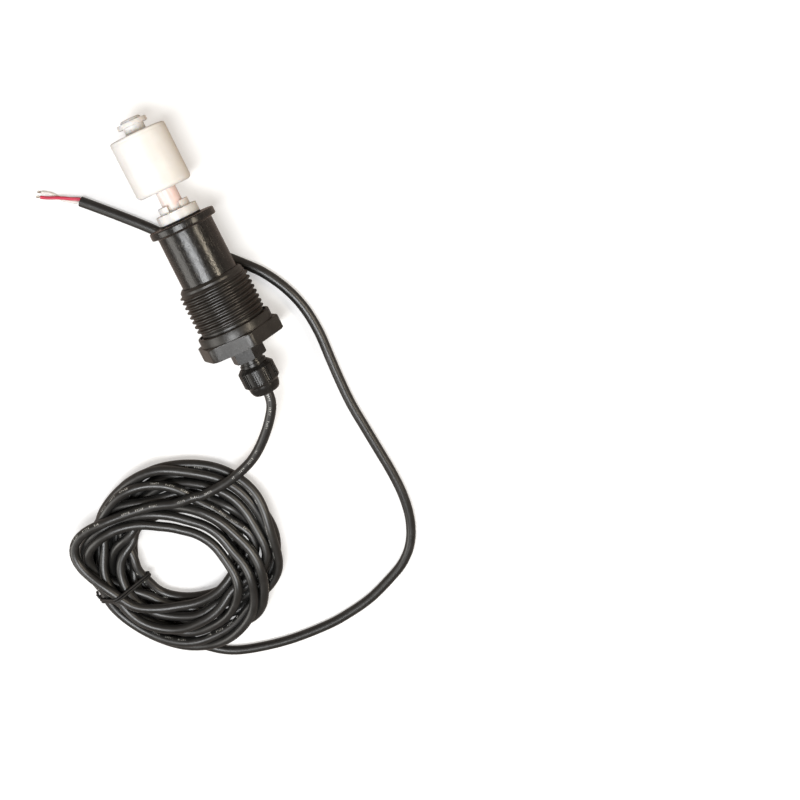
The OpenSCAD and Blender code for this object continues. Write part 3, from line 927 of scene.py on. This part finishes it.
@dataclass
class CableRun:
    """The free cable: lead from the gland, coil, and tail round the switch to its stripped end.

    Attributes:
        level_step: height of one level of the coil, in diameters.
        order: how strongly the higher of two strands stays on top.
        own_reach: diameters of its own length within which the cable doesn't push itself.
        push: share of an overlap that is taken up in a round.
        sideways: share of a push that acts sideways.
        falling: share of the rounds in which the strands sink.
        held_lead: x and y beyond which the cable beside the switch keeps its place.
        held_tail: y short of which the tail keeps its place.
        lead: points of the centreline from the gland nut to the coil.
        winding: angle in degrees, radius and level of the places along each turn.
        tail: x and y of the centreline from the coil to the stripped end.
    """

    diameter: float = 4.2
    sides: int = 20
    tick_roll: float = 0.006
    centre: Span = (-74.0, -116.0)
    level_step: float = 0.45
    angle_step: float = 4.0
    angle_blend: float = 2.0
    stages: tuple[Settling, ...] = (Settling(3.0, 300, 0.12, 0.93), Settling(2.0, 60, 0.03, 0.97))
    order: float = 1.2
    own_reach: float = 1.8
    push: float = 1.4
    sideways: float = 0.5
    falling: float = 0.85
    flat_blend: float = 5.4
    height_blend: float = 3.0
    held_lead: Span = (-20.0, -92.0)
    held_tail: float = -165.5
    held_blend: int = 5
    lead: tuple[Point, ...] = (
        (0, -59.5, 16), (-0.25, -62.3, 16), (-1.4, -65.8, 15.8), (-4.4, -70.2, 15.3),
        (-8.8, -75.2, 14.7), (-14.3, -80.3, 14), (-20.5, -84.7, 13.3), (-27.8, -87.9, 12.4),
        (-36.5, -90.4, 11.6),
    )
    winding: tuple[tuple[Point, ...], ...] = (
        (
            (44, 37, 9.5), (60, 27.5, 9.5), (79, 28.5, 9.5), (96, 29, 9.5), (112, 32, 9.5),
            (123, 36, 9.5), (132, 40, 9.5), (140, 45.5, 9), (148, 47.5, 9), (155, 46, 9),
            (163, 40.5, 9), (171, 34.5, 9), (180, 31.5, 9),
        ),
        (
            (188, 30, 8.5), (200, 29.5, 8), (216, 25.5, 7), (243, 21.5, 6.5), (277, 22, 6),
            (310, 24.5, 5), (325, 26, 4.5), (338, 31, 4), (352, 36.5, 4), (368, 35, 4),
            (383, 34.5, 4), (398, 30, 4), (420, 31, 4.5), (443, 28, 5.5), (464, 32.5, 6),
            (480, 40.5, 6), (495, 37, 5.5), (509, 33.5, 6), (525, 35.5, 6.5),
        ),
        (
            (188, 33.5, 6), (200, 34.5, 7), (213, 35, 8), (243, 33, 8), (265, 29, 7.5),
            (287, 28, 6.5), (307, 25.5, 5), (322, 31.5, 4.5), (338, 42, 4), (360, 38, 4),
            (379, 39, 4), (391, 39, 4), (405, 37, 3.5), (423, 36.5, 3), (438, 33.5, 2),
            (452, 31.5, 2.5), (466, 29.5, 2.5), (480, 25.5, 3.5), (490, 20, 4.5),
            (501, 22.5, 5), (514, 25.5, 5.5), (526, 27, 5),
        ),
        (
            (188, 27.5, 4.5), (216, 29.5, 4), (242, 28, 4.5), (262, 28.5, 5), (282, 26.5, 4),
            (300, 28.5, 3), (315, 33.5, 2), (330, 39, 1.5), (345, 42, 1), (360, 42.5, 1),
            (380, 44, 1), (398, 44, 2), (413, 41.5, 4), (435, 44, 5.5), (450, 41, 5.5),
            (464, 38.5, 5.5), (478, 37.5, 5.5), (495, 38, 4.5), (510, 37, 3.5),
            (530, 38.5, 3.5),
        ),
        (
            (188, 42.5, 5), (205, 42, 5.5), (235, 42.5, 6), (252, 43, 6), (268, 41, 5.5),
            (284, 41, 5), (298, 36.5, 4), (312, 39.5, 3), (330, 45, 3), (345, 42.5, 3),
            (360, 43, 3.5), (375, 47, 4), (393, 47, 4), (406, 46, 3.5), (423, 43.5, 3),
            (444, 42, 2.5), (460, 39, 3.5), (475, 35, 4), (490, 29.5, 4), (505, 24.5, 3),
            (517, 20.5, 3.5), (535, 22, 3),
        ),
        (
            (190, 20, 2.5), (214, 22, 2), (240, 21, 2), (270, 21, 2), (303, 24, 2),
            (320, 27, 3.5), (338, 31, 4.5), (355, 37.5, 4.5), (375, 29, 4.5), (395, 30, 5),
            (406, 28, 6), (421, 34.5, 7), (441, 38, 7.5), (457, 40, 7.5), (472, 37.5, 7),
            (488, 36, 6.5), (505, 39, 5), (525, 40, 3),
        ),
        (
            (188, 41.5, 1.5), (205, 44, 1.5), (235, 44, 2.5), (252, 44.5, 3), (267, 44.5, 4),
            (283, 41, 5.5), (298, 40.5, 6.5), (314, 35.5, 7), (331, 32, 7.5), (348, 24, 7.5),
            (362, 23.5, 7.5), (374, 22, 7.5), (389, 21, 7), (405, 19.5, 7), (420, 20, 7),
            (442, 22.5, 7), (461, 26.5, 7), (472, 28.5, 7), (485, 33.5, 7), (502, 40.5, 7),
            (515, 44.5, 6), (528, 40.5, 5),
        ),
        (
            (188, 36.5, 4), (210, 34.5, 4), (235, 35, 4.5), (250, 38, 5), (263, 35.5, 6),
            (282, 34, 7), (299, 31, 7.5), (318, 28.5, 8.5), (337, 21, 8.5), (360, 18, 8.5),
            (379, 16, 8.5), (399, 15, 8.5), (419, 14.5, 8.5), (433, 16, 8), (452, 18, 8),
            (467, 24, 8), (485, 31.5, 8), (494, 35, 8), (509, 40.5, 7.5), (517, 43, 7),
            (530, 36.5, 5.5),
        ),
        (
            (188, 27.5, 3), (205, 23, 2.5), (225, 24, 1.5), (240, 23.5, 0.5), (255, 25.5, 0),
            (268, 29, 0), (280, 35.5, 0), (292, 37, 0), (305, 37, 0), (318, 32.5, 0),
            (330, 29, 0), (342, 26, 0), (352, 25.5, 0), (365, 28, 0), (385, 34.5, 0),
            (410, 39, 0), (435, 40.5, 0), (452, 36, 0), (466, 33, 0), (480, 32, 0),
            (495, 32, 0.5), (510, 30.5, 1), (525, 27, 1.5), (537, 27.5, 1),
        ),
        even_turn(188, 18, 0, (
            24.5, 28, 29, 29, 28, 29.5, 32, 36.5, 40.5, 43, 42.5, 41.5, 41, 40, 38.5, 40, 39, 35.5,
            33.5, 30.5,
        )),
        even_turn(188, 18, 0.4, (
            29, 28, 32, 33.5, 30, 26, 25, 24.5, 23, 25, 26, 23.5, 22.5, 22.5, 22, 20.5, 23.5, 23.5,
            22.5, 22.5,
        )),
        (
            (188, 25, 1), (200, 27.5, 0.5), (215, 32.5, 0.5), (230, 36.5, 0.5), (250, 38, 1),
            (270, 38.5, 1), (287, 43, 2), (302, 43, 4), (315, 40, 5), (331, 38, 6),
            (345, 35, 6.5), (364, 29.5, 6.5), (373, 29.5, 6.5), (393, 28, 6), (405, 28, 5.5),
            (421, 25.5, 5), (450, 26.5, 4.5), (470, 24.5, 5), (487, 22.5, 5.5), (499, 26, 6),
            (509, 29.5, 6), (517, 29, 6), (527, 33.5, 5),
        ),
        (
            (188, 33, 1.5), (200, 35.5, 0.5), (215, 39, 0), (230, 41.5, 0), (242, 43.5, 0),
        ),
    )
    tail: tuple[Span, ...] = (
        (-91.5, -157), (-83, -164.5), (-74, -169.5), (-61, -172.5), (-46, -174), (-28, -173.5),
        (-16, -171.5), (-5, -168.5), (6, -163.5), (15.5, -158), (22.5, -150.5), (27, -140.5),
        (29, -129), (29, -117), (28, -105), (27, -94), (26, -82), (26, -70.5), (26.5, -59),
        (27, -48), (26, -37), (23, -27), (17.5, -17), (11, -9.5), (4, -2.5), (-4, 4.5),
        (-11, 11.2), (-17.5, 18.7), (-24.2, 25.7), (-31.2, 32.7), (-38.5, 39.8),
    )

    def _wound(self) -> Rows:
        """Centre points of the coil, from its places of angle, radius and level.

        Returns:
            The points, before they settle.
        """
        places, last = [], 0.0
        for angle, radius, level in (place for turn in self.winding for place in turn):
            while angle <= last:
                angle += 360.0
            places.append((angle, radius, level))
            last = angle
        marks = np.array(places)
        angles = np.arange(marks[0, 0], last, self.angle_step)
        pairs = np.stack([np.interp(angles, marks[:, 0], marks[:, k]) for k in (1, 2)], axis=1)
        radii, levels = soften(pairs, self.angle_blend).T
        ways = np.radians(angles)
        x = self.centre[0] + radii * np.cos(ways)
        y = self.centre[1] + radii * np.sin(ways)
        return np.stack([x, y, self.diameter * (0.5 + self.level_step * levels)], axis=1)

    def _settle(self, path: Rows, stage: Settling) -> Rows:
        """Lets the strands sink and push each other apart until they lie a diameter apart.

        Args:
            path: centre points in millimetres.
            stage: how far and how often they move.

        Returns:
            The settled points.
        """
        start, gap = path.copy(), self.diameter
        step = float(strides(path).mean())
        numbers = np.arange(len(path))
        skip = math.ceil(self.own_reach * gap / step)
        near = abs(numbers[:, None] - numbers[None]) <= skip
        right, front = self.held_lead
        fixed = ((path[:, 0] > right) & (path[:, 1] > front)) | (path[:, 1] < self.held_tail)
        even = np.ones(self.held_blend) / self.held_blend
        held = np.convolve(fixed.astype(float), even, mode="same")[:, None]
        for number in range(stage.rounds):
            apart = path[:, None] - path[None]
            distance = np.sqrt((apart ** 2).sum(axis=2))
            distance[near] = np.inf
            i, j = np.nonzero(distance < gap)
            apart[i, j, 2] += self.order * np.sign(start[i, 2] - start[j, 2])
            move, count = np.zeros_like(path), np.zeros(len(path))
            scale = (gap - distance[i, j]) / (2 * np.maximum(distance[i, j], 1e-6))
            np.add.at(move, i, apart[i, j] * scale[:, None])
            np.add.at(count, i, 1)
            move *= self.push / np.maximum(count, 1)[:, None]
            move[:, :2] *= self.sideways
            if number < self.falling * stage.rounds:
                move[:, 2] -= stage.fall
            moved = path - start + move * (1 - held)
            moved[:, :2] = soften(moved[:, :2], self.flat_blend / step) * stage.pull
            heights = soften(start[:, 2:] + moved[:, 2:], self.height_blend / step)
            moved[:, 2:] = heights - start[:, 2:]
            path = start + moved * (1 - held)
            path[:, 2] = np.maximum(path[:, 2], gap / 2)
        return path

    def route(self) -> Rows:
        """Works out the cable's centreline, in millimetres.

        Returns:
            The points, at even steps from the gland nut to the stripped end.
        """
        tail = [(x, y, self.diameter / 2) for x, y in self.tail]
        path = np.vstack([self.lead, self._wound(), tail])
        for stage in self.stages:
            path = self._settle(even_steps(path, stage.step), stage)
        return path

    def build(self, paints: Paints) -> tuple[bpy.types.Object, Rows]:
        """Builds the cable.

        Args:
            paints: the materials.

        Returns:
            The piece and its centreline in millimetres.
        """
        path = self.route()
        points, faces, stored = tube_mesh(path, self.diameter / 2, self.sides, self.tick_roll)
        cable = add_object("cable_run", points, faces, Body.ROOT, stored)
        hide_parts("cable_lead", "cable_coil", "cable_tail")
        paints.coat(cable, Finish.JACKET)
        LOG.info("cable is %.0f mm long, %.1f mm high", strides(path).sum(), path[:, 2].max())
        return cable, path


def soften(values: Rows, width: float) -> Rows:
    """Evens out rows of numbers along their length with a bell-shaped window."""
    reach = int(3 * width) + 1
    bell = np.exp(-0.5 * (np.arange(-reach, reach + 1) / width) ** 2)
    bell /= bell.sum()
    padded = np.pad(values, ((reach, reach), (0, 0)), mode="edge")
    return np.stack([np.convolve(column, bell, mode="valid") for column in padded.T], axis=1)


def outline(points: Rows) -> Rows:
    """Convex outline of points in a plane, counter-clockwise."""
    ordered = sorted(map(tuple, points.tolist()))
    halves = []
    for run in (ordered, ordered[::-1]):
        half: list[tuple[float, float]] = []
        for p in run:
            while len(half) > 1 and cross2(half[-2], half[-1], p) <= 0:
                half.pop()
            half.append(p)
        halves.append(half[:-1])
    return np.array(halves[0] + halves[1])


def cross2(a: Sequence[float], b: Sequence[float], c: Sequence[float]) -> float:
    """Twice the area of the corner a, b, c."""
    return (b[0] - a[0]) * (c[1] - a[1]) - (b[1] - a[1]) * (c[0] - a[0])


@dataclass
class CoilTie:
    """The plastic-covered wire that is wound round the bundle and twisted at its outside."""

    wire: float = 1.1
    way: float = 187.0
    slab: float = 1.5
    reach: Span = (5.0, 60.0)
    lane: float = 1.04
    strand_points: int = 24
    ring_points: int = 72
    pitch: float = 0.62
    twist_length: float = 3.2
    twist_points: int = 40
    twist_radius: float = 0.55
    twist_flat: float = 0.4
    twist_out: float = 0.55
    twist_side: float = 0.8
    twist_rise: float = 1.6
    twist_drop: float = 1.5
    sides: int = 10

    def build(self, paints: Paints, run: CableRun, path: Rows) -> bpy.types.Object:
        """Builds the tie round the strands that cross its plane.

        Args:
            paints: the materials.
            run: the cable that it holds.
            path: the cable's centreline in millimetres.

        Returns:
            The piece.
        """
        angle = math.radians(self.way)
        out = np.array([math.cos(angle), math.sin(angle), 0.0])
        side = np.array([-math.sin(angle), math.cos(angle), 0.0])
        centre = np.array([*run.centre, 0.0])
        local = path - centre
        depth, reach = local @ side, local @ out
        low, high = self.reach
        near = (abs(depth) < self.slab) & (reach > low) & (reach < high)
        section = np.stack([reach[near], path[near][:, 2]], axis=1)
        ring = self._ring(section, run.diameter / 2)
        pieces = []
        for half in (-0.5, 0.5):
            shift = side * (half * self.wire * self.lane)
            loop = np.array([centre + out * r + shift + UP * z for r, z in ring])
            pieces.append(tube_mesh(np.vstack([loop, loop[:2]]), self.wire / 2, self.sides))
        pieces += self._twist(centre, out, side, ring)
        points, faces = merge(pieces)
        tie = add_object("coil_tie_wire", points, faces, Body.ROOT)
        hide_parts("coil_tie")
        paints.coat(tie, Finish.SLEEVE)
        return tie

    def _ring(self, section: Rows, radius: float) -> Rows:
        """The closed line of the tie round the section's strands, over the table."""
        angles = np.linspace(0, 2 * math.pi, self.strand_points, endpoint=False)
        grow = radius + self.wire / 2
        around = [section + grow * np.array([math.cos(a), math.sin(a)]) for a in angles]
        hull = outline(np.vstack(around))
        hull[:, 1] = np.maximum(hull[:, 1], self.wire / 2)
        return spread(np.vstack([hull, hull[:1]]), self.ring_points + 1)[:-1]

    def _twist(self, centre: Rows, out: Rows, side: Rows, ring: Rows) -> list[Tube]:
        """The two twisted ends, which stand out from the outer side of the bundle."""
        start = ring[np.argmax(ring[:, 0])]
        swing = self.wire * self.twist_radius
        parts = []
        for phase in (0.0, math.pi):
            line = []
            for share in np.linspace(0, 1, self.twist_points):
                turn = phase + share * self.twist_length * self.pitch * 2
                away = start[0] + share * self.twist_length * self.twist_out
                bow = self.twist_rise * math.sin(share * math.pi) - self.twist_drop * share
                height = max(self.wire, start[1] + bow)
                lane = -share * self.twist_length * self.twist_side
                spot = centre + out * (away + swing * math.cos(turn) * self.twist_flat)
                spot = spot + side * (lane + swing * math.cos(turn))
                line.append(spot + UP * (height + swing * math.sin(turn)))
            parts.append(tube_mesh(np.array(line), self.wire / 2, self.sides))
        return parts


def merge(parts: Iterable[Skin | Tube]) -> Skin:
    """Joins several meshes into one list of points and faces."""
    points, faces, first = [], [], 0
    for some_points, some_faces, *_ in parts:
        points.append(some_points)
        faces += [tuple(first + k for k in face) for face in some_faces]
        first += len(some_points)
    return np.vstack(points), faces


@dataclass
class StrippedCores:
    """The red and the white core beyond the jacket, with their bare stranded ends."""

    core: float = 1.4
    strand: float = 0.26
    strands: int = 7
    bare_length: float = 1.8
    lay_turns: float = 0.45
    start: float = 0.75
    inside: float = 2.0
    straight: float = 1.0
    step: float = 0.4
    sides: int = 16
    strand_sides: int = 8
    strand_points: int = 12
    tucked: float = -0.3
    packing: float = 0.98
    splay: float = 0.12
    uneven: float = 0.12
    red: tuple[Point, ...] = (
        (-41.6, 42.4, 2.4), (-44, 43.8, 2.5), (-47, 45.2, 2.4), (-50.2, 46.4, 1.3),
        (-52, 47.2, 0.7), (-53.4, 48, 0.7),
    )
    white: tuple[Point, ...] = (
        (-42.6, 41.6, 1.4), (-45.2, 43.2, 0.7), (-46.9, 45.4, 0.7), (-49.2, 47.8, 0.7),
        (-52, 49.5, 0.7),
    )

    def build(self, paints: Paints, path: Rows) -> list[bpy.types.Object]:
        """Builds both cores and their bare ends.

        Args:
            paints: the materials.
            path: the cable's centreline in millimetres.

        Returns:
            The pieces.
        """
        end = path[-1]
        way = unit(path[-1] - path[-2])
        across = np.cross(way, UP)
        made, bare = [], []
        for name, sign, route, finish in (
            ("core_red_lead", 1, self.red, Finish.RED),
            ("core_white_lead", -1, self.white, Finish.WHITE),
        ):
            begin = end + sign * self.start * across
            line = [begin - way * self.inside, begin, begin + way * self.straight, route]
            smooth = even_steps(np.vstack(line), self.step)
            points, faces, stored = tube_mesh(smooth, self.core / 2, self.sides)
            core = add_object(name, points, faces, Body.ROOT, stored)
            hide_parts(name.replace("_lead", ""))
            paints.coat(core, finish)
            made.append(core)
            bare += self._bundle(smooth[-1], unit(smooth[-1] - smooth[-2]))
        points, faces = merge(bare)
        ends = add_object("bare_strands", points, faces, Body.ROOT)
        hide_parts("bare_ends")
        paints.coat(ends, Finish.WIRE)
        return [*made, ends]

    def _bundle(self, at: Rows, way: Rows) -> list[Tube]:
        """One bare end as fine strands that are laid round each other."""
        side = unit(np.cross(way, UP))
        up = np.cross(side, way)
        parts = []
        for number in range(self.strands):
            ring = self.strand * self.packing if number else 0.0
            phase = number * 2 * math.pi / max(1, self.strands - 1)
            line = []
            for share in np.linspace(self.tucked, 1, self.strand_points):
                turn = phase + share * self.lay_turns * 2 * math.pi
                wide = ring * (1 + self.splay * share)
                spot = at + way * share * (self.bare_length - self.uneven * (number % 3))
                line.append(spot + wide * (math.cos(turn) * side + math.sin(turn) * up))
            parts.append(tube_mesh(np.array(line), self.strand / 2, self.strand_sides))
        return parts


@dataclass
class Bushing:
    """The bushing with a real helical thread, plain collar and big hexagon."""

    axis: float = 16.0
    front: float = -7.6
    collar_front: float = -28.1
    hex_front: float = -31.9
    back: float = -37.7
    floor: float = -33.3
    crest: float = 14.45
    depth: float = 1.1
    pitch: float = 2.1
    flank_share: float = 0.3
    crest_share: float = 0.2
    run_in: float = 0.5
    run_out: float = 0.35
    lip: float = 1.9
    lip_bevel: Span = (0.25, 0.75)
    first_row: float = 1.0
    undercut: float = 1.15
    undercut_rim: float = 0.05
    collar: float = 15.55
    collar_round: float = 0.4
    recess: float = 0.6
    flats: float = 32.0
    chamfer: float = 0.5
    chamfer_bend: float = 0.4
    corner_cut: float = 0.35
    hex_sides: int = 96
    bore: float = 11.66
    bore_round: Span = (0.15, 0.2)
    tuck: Span = (2.0, 0.4)
    gland_bore: float = 5.95
    washer_bore: float = 7.55
    washer_depth: float = 0.8
    rim: float = 0.8
    sides: int = 192
    steps: int = 14

    def build(self, paints: Paints) -> bpy.types.Object:
        """Builds the bushing.

        Args:
            paints: the materials.

        Returns:
            The piece.
        """
        points, faces = merge([self._shell(), self._hexagon()])
        piece = add_object("bushing_cut", points, faces, Body.ROOT, sharp=38.0)
        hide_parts("threaded_bushing")
        paints.coat(piece, Finish.BUSHING)
        return piece

    def _height(self, turns: float) -> float:
        """Height of the thread above its root for a place in the pitch, from 0 to 1."""
        place = turns % 1.0
        rise, crest = self.flank_share, self.crest_share
        if place < rise:
            return place / rise
        if place < rise + crest:
            return 1.0
        if place < 2 * rise + crest:
            return (2 * rise + crest - place) / rise
        return 0.0

    def _sleeve_radius(self, y: float, turn: float) -> float:
        """Outer radius of the threaded sleeve at a height and a share of a turn."""
        root = self.crest - self.depth
        start = self.front - self.lip
        end = self.collar_front + self.undercut
        if y >= start:
            return root
        fade_in = min(1.0, (start - y) / (self.run_in * self.pitch))
        fade_out = min(1.0, max(0.0, (y - end) / (self.run_out * self.pitch)))
        return root + self.depth * self._height(y / self.pitch + turn) * fade_in * fade_out

    def _shell(self) -> Skin:
        """Sleeve with its helical thread, collar face and bore, as one closed skin."""
        root = self.crest - self.depth
        seat = self.collar_front
        mouth, mouth_depth = self.bore_round
        bevel, bevel_depth = self.lip_bevel
        tuck, tuck_depth = self.tuck
        rim = self.crest + self.undercut_rim
        heights = np.arange(self.front - self.first_row, seat, -self.pitch / self.steps)
        turns = np.arange(self.sides) / self.sides
        rows: list[Rows] = []

        def level(radius: float, y: float) -> None:
            """Adds one round row."""
            rows.append(np.stack([np.full(self.sides, radius), np.full(self.sides, y)], axis=1))

        level(self.bore + mouth, self.front)
        level(self.bore + self.rim, self.front)
        level(root - bevel, self.front - bevel_depth)
        for y in heights:
            rows.append(np.array([(self._sleeve_radius(y, t), y) for t in turns]))
        level(root, seat - self.recess)
        level(rim, seat - self.recess)
        level(rim, seat)
        level(self.collar - self.collar_round, seat)
        for share in (0.3, 0.6):
            bend = share * math.pi / 2
            level(
                self.collar - self.collar_round * (1 - math.sin(bend)),
                seat - self.collar_round * (1 - math.cos(bend)),
            )
        level(self.collar, seat - self.collar_round)
        level(self.collar, self.hex_front)
        level(self.collar - tuck, self.hex_front - tuck_depth)
        level(self.bore, self.floor + mouth_depth)
        level(self.bore, self.front - mouth_depth)
        grid = np.array(rows)
        points = revolve(grid[:, :, 0], grid[:, :, 1], turns * 2 * math.pi, self.axis)
        return points, closed_faces(len(rows), self.sides)

    def _hexagon(self) -> Skin:
        """The big hexagon with turned corners and its bored end wall."""
        sixth = math.pi / 6
        corner = self.flats / 2 / math.cos(sixth) - self.corner_cut
        columns, bend = self.hex_sides, self.chamfer * self.chamfer_bend
        angles = np.arange(columns) * 2 * math.pi / columns
        flat = np.array([self.flats / 2 / math.cos((a + sixth) % (2 * sixth) - sixth) for a in angles])
        rows = []
        for inset, y in (
            (self.chamfer, self.hex_front), (bend, self.hex_front - bend),
            (0.0, self.hex_front - self.chamfer), (0.0, self.back + self.chamfer),
            (bend, self.back + bend), (self.chamfer, self.back),
        ):
            rows.append(np.stack([np.minimum(flat, corner - inset), np.full(columns, y)], axis=1))
        seat = self.back + self.washer_depth
        for radius, y in (
            (self.washer_bore, self.back), (self.washer_bore, seat), (self.gland_bore, seat),
            (self.gland_bore, self.floor), (self.bore, self.floor), (self.bore, self.hex_front),
        ):
            rows.append(np.stack([np.full(columns, radius), np.full(columns, y)], axis=1))
        grid = np.array(rows)
        points = revolve(grid[:, :, 0], grid[:, :, 1], angles + math.pi / 2, self.axis)
        return points, closed_faces(len(rows), columns)


@dataclass
class GlandNut:
    """The gland nut: grip with rib pairs between fine grooves, chamfered rim and plain dome."""

    axis: float = 16.0
    front: float = -46.9
    back: float = -59.5
    dome: float = 4.6
    land: float = 7.7
    groove: float = 0.5
    groove_width: float = 0.4
    rib_width: float = 0.6
    pairs: int = 10
    first_pair: float = -5.4
    wall: float = 0.05
    end: float = 4.5
    shoulder: float = 0.7
    rim: float = 1.4
    soft: float = 0.12
    soft_bend: float = 0.3
    shoulder_lean: Span = (0.8, 1.05)
    land_columns: int = 6
    grip_ends: Span = (0.5, 0.9)
    grip_rows: int = 5
    dome_rows: int = 10
    mouth: float = 0.25
    thread_bore: float = 5.8
    thread_end: float = -51.5
    claw_bore: float = 5.0
    claw_end: float = -55.5
    cable_bore: float = 2.7

    def _around(self) -> tuple[Rows, Rows]:
        """Angles of the mesh columns and the share of the groove depth at each."""
        pitch = self.groove_width + self.rib_width
        half = self.groove_width / 2
        arcs, shares = [], []
        for middle in (-pitch, 0.0, pitch):
            arcs += [middle - half - self.wall, middle - half, middle + half, middle + half + self.wall]
            shares += [0.0, 1.0, 1.0, 0.0]
        group = 2 * math.pi * self.land / self.pairs
        rest = np.linspace(arcs[-1], arcs[0] + group, self.land_columns)[1:-1].tolist()
        arcs += rest
        shares += [0.0] * len(rest)
        starts = math.radians(self.first_pair) + np.arange(self.pairs) * 2 * math.pi / self.pairs
        angles = starts[:, None] + np.array(arcs)[None] / self.land
        return angles.ravel(), np.tile(shares, self.pairs)

    def _profile(self) -> list[tuple[float, float]]:
        """Radius and y of the outside, from the rim to the dome's end."""
        grip = self.back + self.dome
        core = self.land - self.groove
        turn = self.front - self.rim
        top = grip + self.groove
        bend = self.soft * self.soft_bend
        lean, drop = self.shoulder_lean
        first, last = self.grip_ends
        line = [
            (self.land - self.rim, self.front), (self.land - self.soft, turn + self.soft),
            (self.land - bend, turn), (self.land, turn - self.soft),
        ]
        heights = np.linspace(turn - first, grip + last, self.grip_rows)
        line += [(self.land, float(y)) for y in heights]
        line += [
            (self.land, top + self.soft), (self.land - bend, top),
            (self.land - self.soft, top - self.soft), (core, grip),
            (core - self.shoulder * lean, grip - self.shoulder * lean),
            (core - self.shoulder, grip - self.shoulder * drop),
        ]
        span = core - self.shoulder - self.end
        height = self.dome - self.shoulder * drop
        for number in range(1, self.dome_rows + 1):
            angle = math.pi / 2 * (1 - number / self.dome_rows)
            rise = height * (1 - math.cos(angle))
            line.append((self.end + span * math.sin(angle), self.back + rise))
        return line

    def build(self, paints: Paints) -> bpy.types.Object:
        """Builds the nut.

        Args:
            paints: the materials.

        Returns:
            The piece.
        """
        angles, shares = self._around()
        limit = self.land - self.groove * shares
        line = self._profile()
        line += [
            (self.cable_bore + self.mouth, self.back), (self.cable_bore, self.back + self.mouth),
            (self.cable_bore, self.claw_end), (self.claw_bore, self.claw_end),
            (self.claw_bore, self.thread_end), (self.thread_bore, self.thread_end),
            (self.thread_bore, self.front),
        ]
        radii = np.array([np.minimum(radius, limit) for radius, _ in line])
        heights = np.array([[y] for _, y in line])
        points = revolve(radii, heights, angles + math.pi / 2, self.axis)
        faces = closed_faces(len(line), len(angles))
        piece = add_object("gland_nut_ribbed", points, faces, Body.GLAND_NUT, sharp=30.0)
        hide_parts("gland_nut")
        paints.coat(piece, Finish.GLAND)
        return piece


@dataclass
class SwitchNodes:
    """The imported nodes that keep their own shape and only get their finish."""

    finishes: tuple[tuple[str, Finish], ...] = (
        ("sensor_body", Finish.NATURAL),
        ("float_shell", Finish.FLOAT_WHITE),
        ("float_lid", Finish.FLOAT_WHITE),
        ("float_magnet", Finish.FERRITE),
        ("retaining_clip", Finish.NATURAL),
        ("reed_capsule", Finish.GLASS),
        ("reed_blades", Finish.WIRE),
        ("sensor_potting", Finish.RESIN),
        ("sensor_lead_red", Finish.RED),
        ("sensor_lead_white", Finish.WHITE),
        ("sensor_gasket", Finish.RUBBER),
        ("fixing_nut", Finish.NATURAL),
        ("housing_tube", Finish.TUBE),
        ("tube_seal", Finish.RUBBER),
        ("splice_sleeves", Finish.SLEEVE),
        ("inner_core_red", Finish.RED),
        ("inner_core_white", Finish.WHITE),
        ("cable_entry", Finish.JACKET),
        ("gland_washer", Finish.RUBBER),
        ("gland_body", Finish.GLAND),
        ("gland_seal", Finish.RUBBER),
    )

    def dress(self, paints: Paints) -> None:
        """Lays its finish on each node."""
        for node, finish in self.finishes:
            paints.dress(node, finish)


def main() -> None:
    """Builds the view, the cable, the pieces and the finishes."""
    logging.basicConfig(level=logging.INFO, format="%(name)s: %(message)s")
    Camera().build()
    paints = Paints()
    run = CableRun()
    cable, path = run.build(paints)
    tie = CoilTie().build(paints, run, path)
    cores = StrippedCores().build(paints, path)
    (path * MM).tolist()
    Studio().build()
    Bushing().build(paints)
    GlandNut().build(paints)
    SwitchNodes().dress(paints)
    bpy.context.scene.view_settings.view_transform = "Standard"


if __name__ == "__main__":
    main()
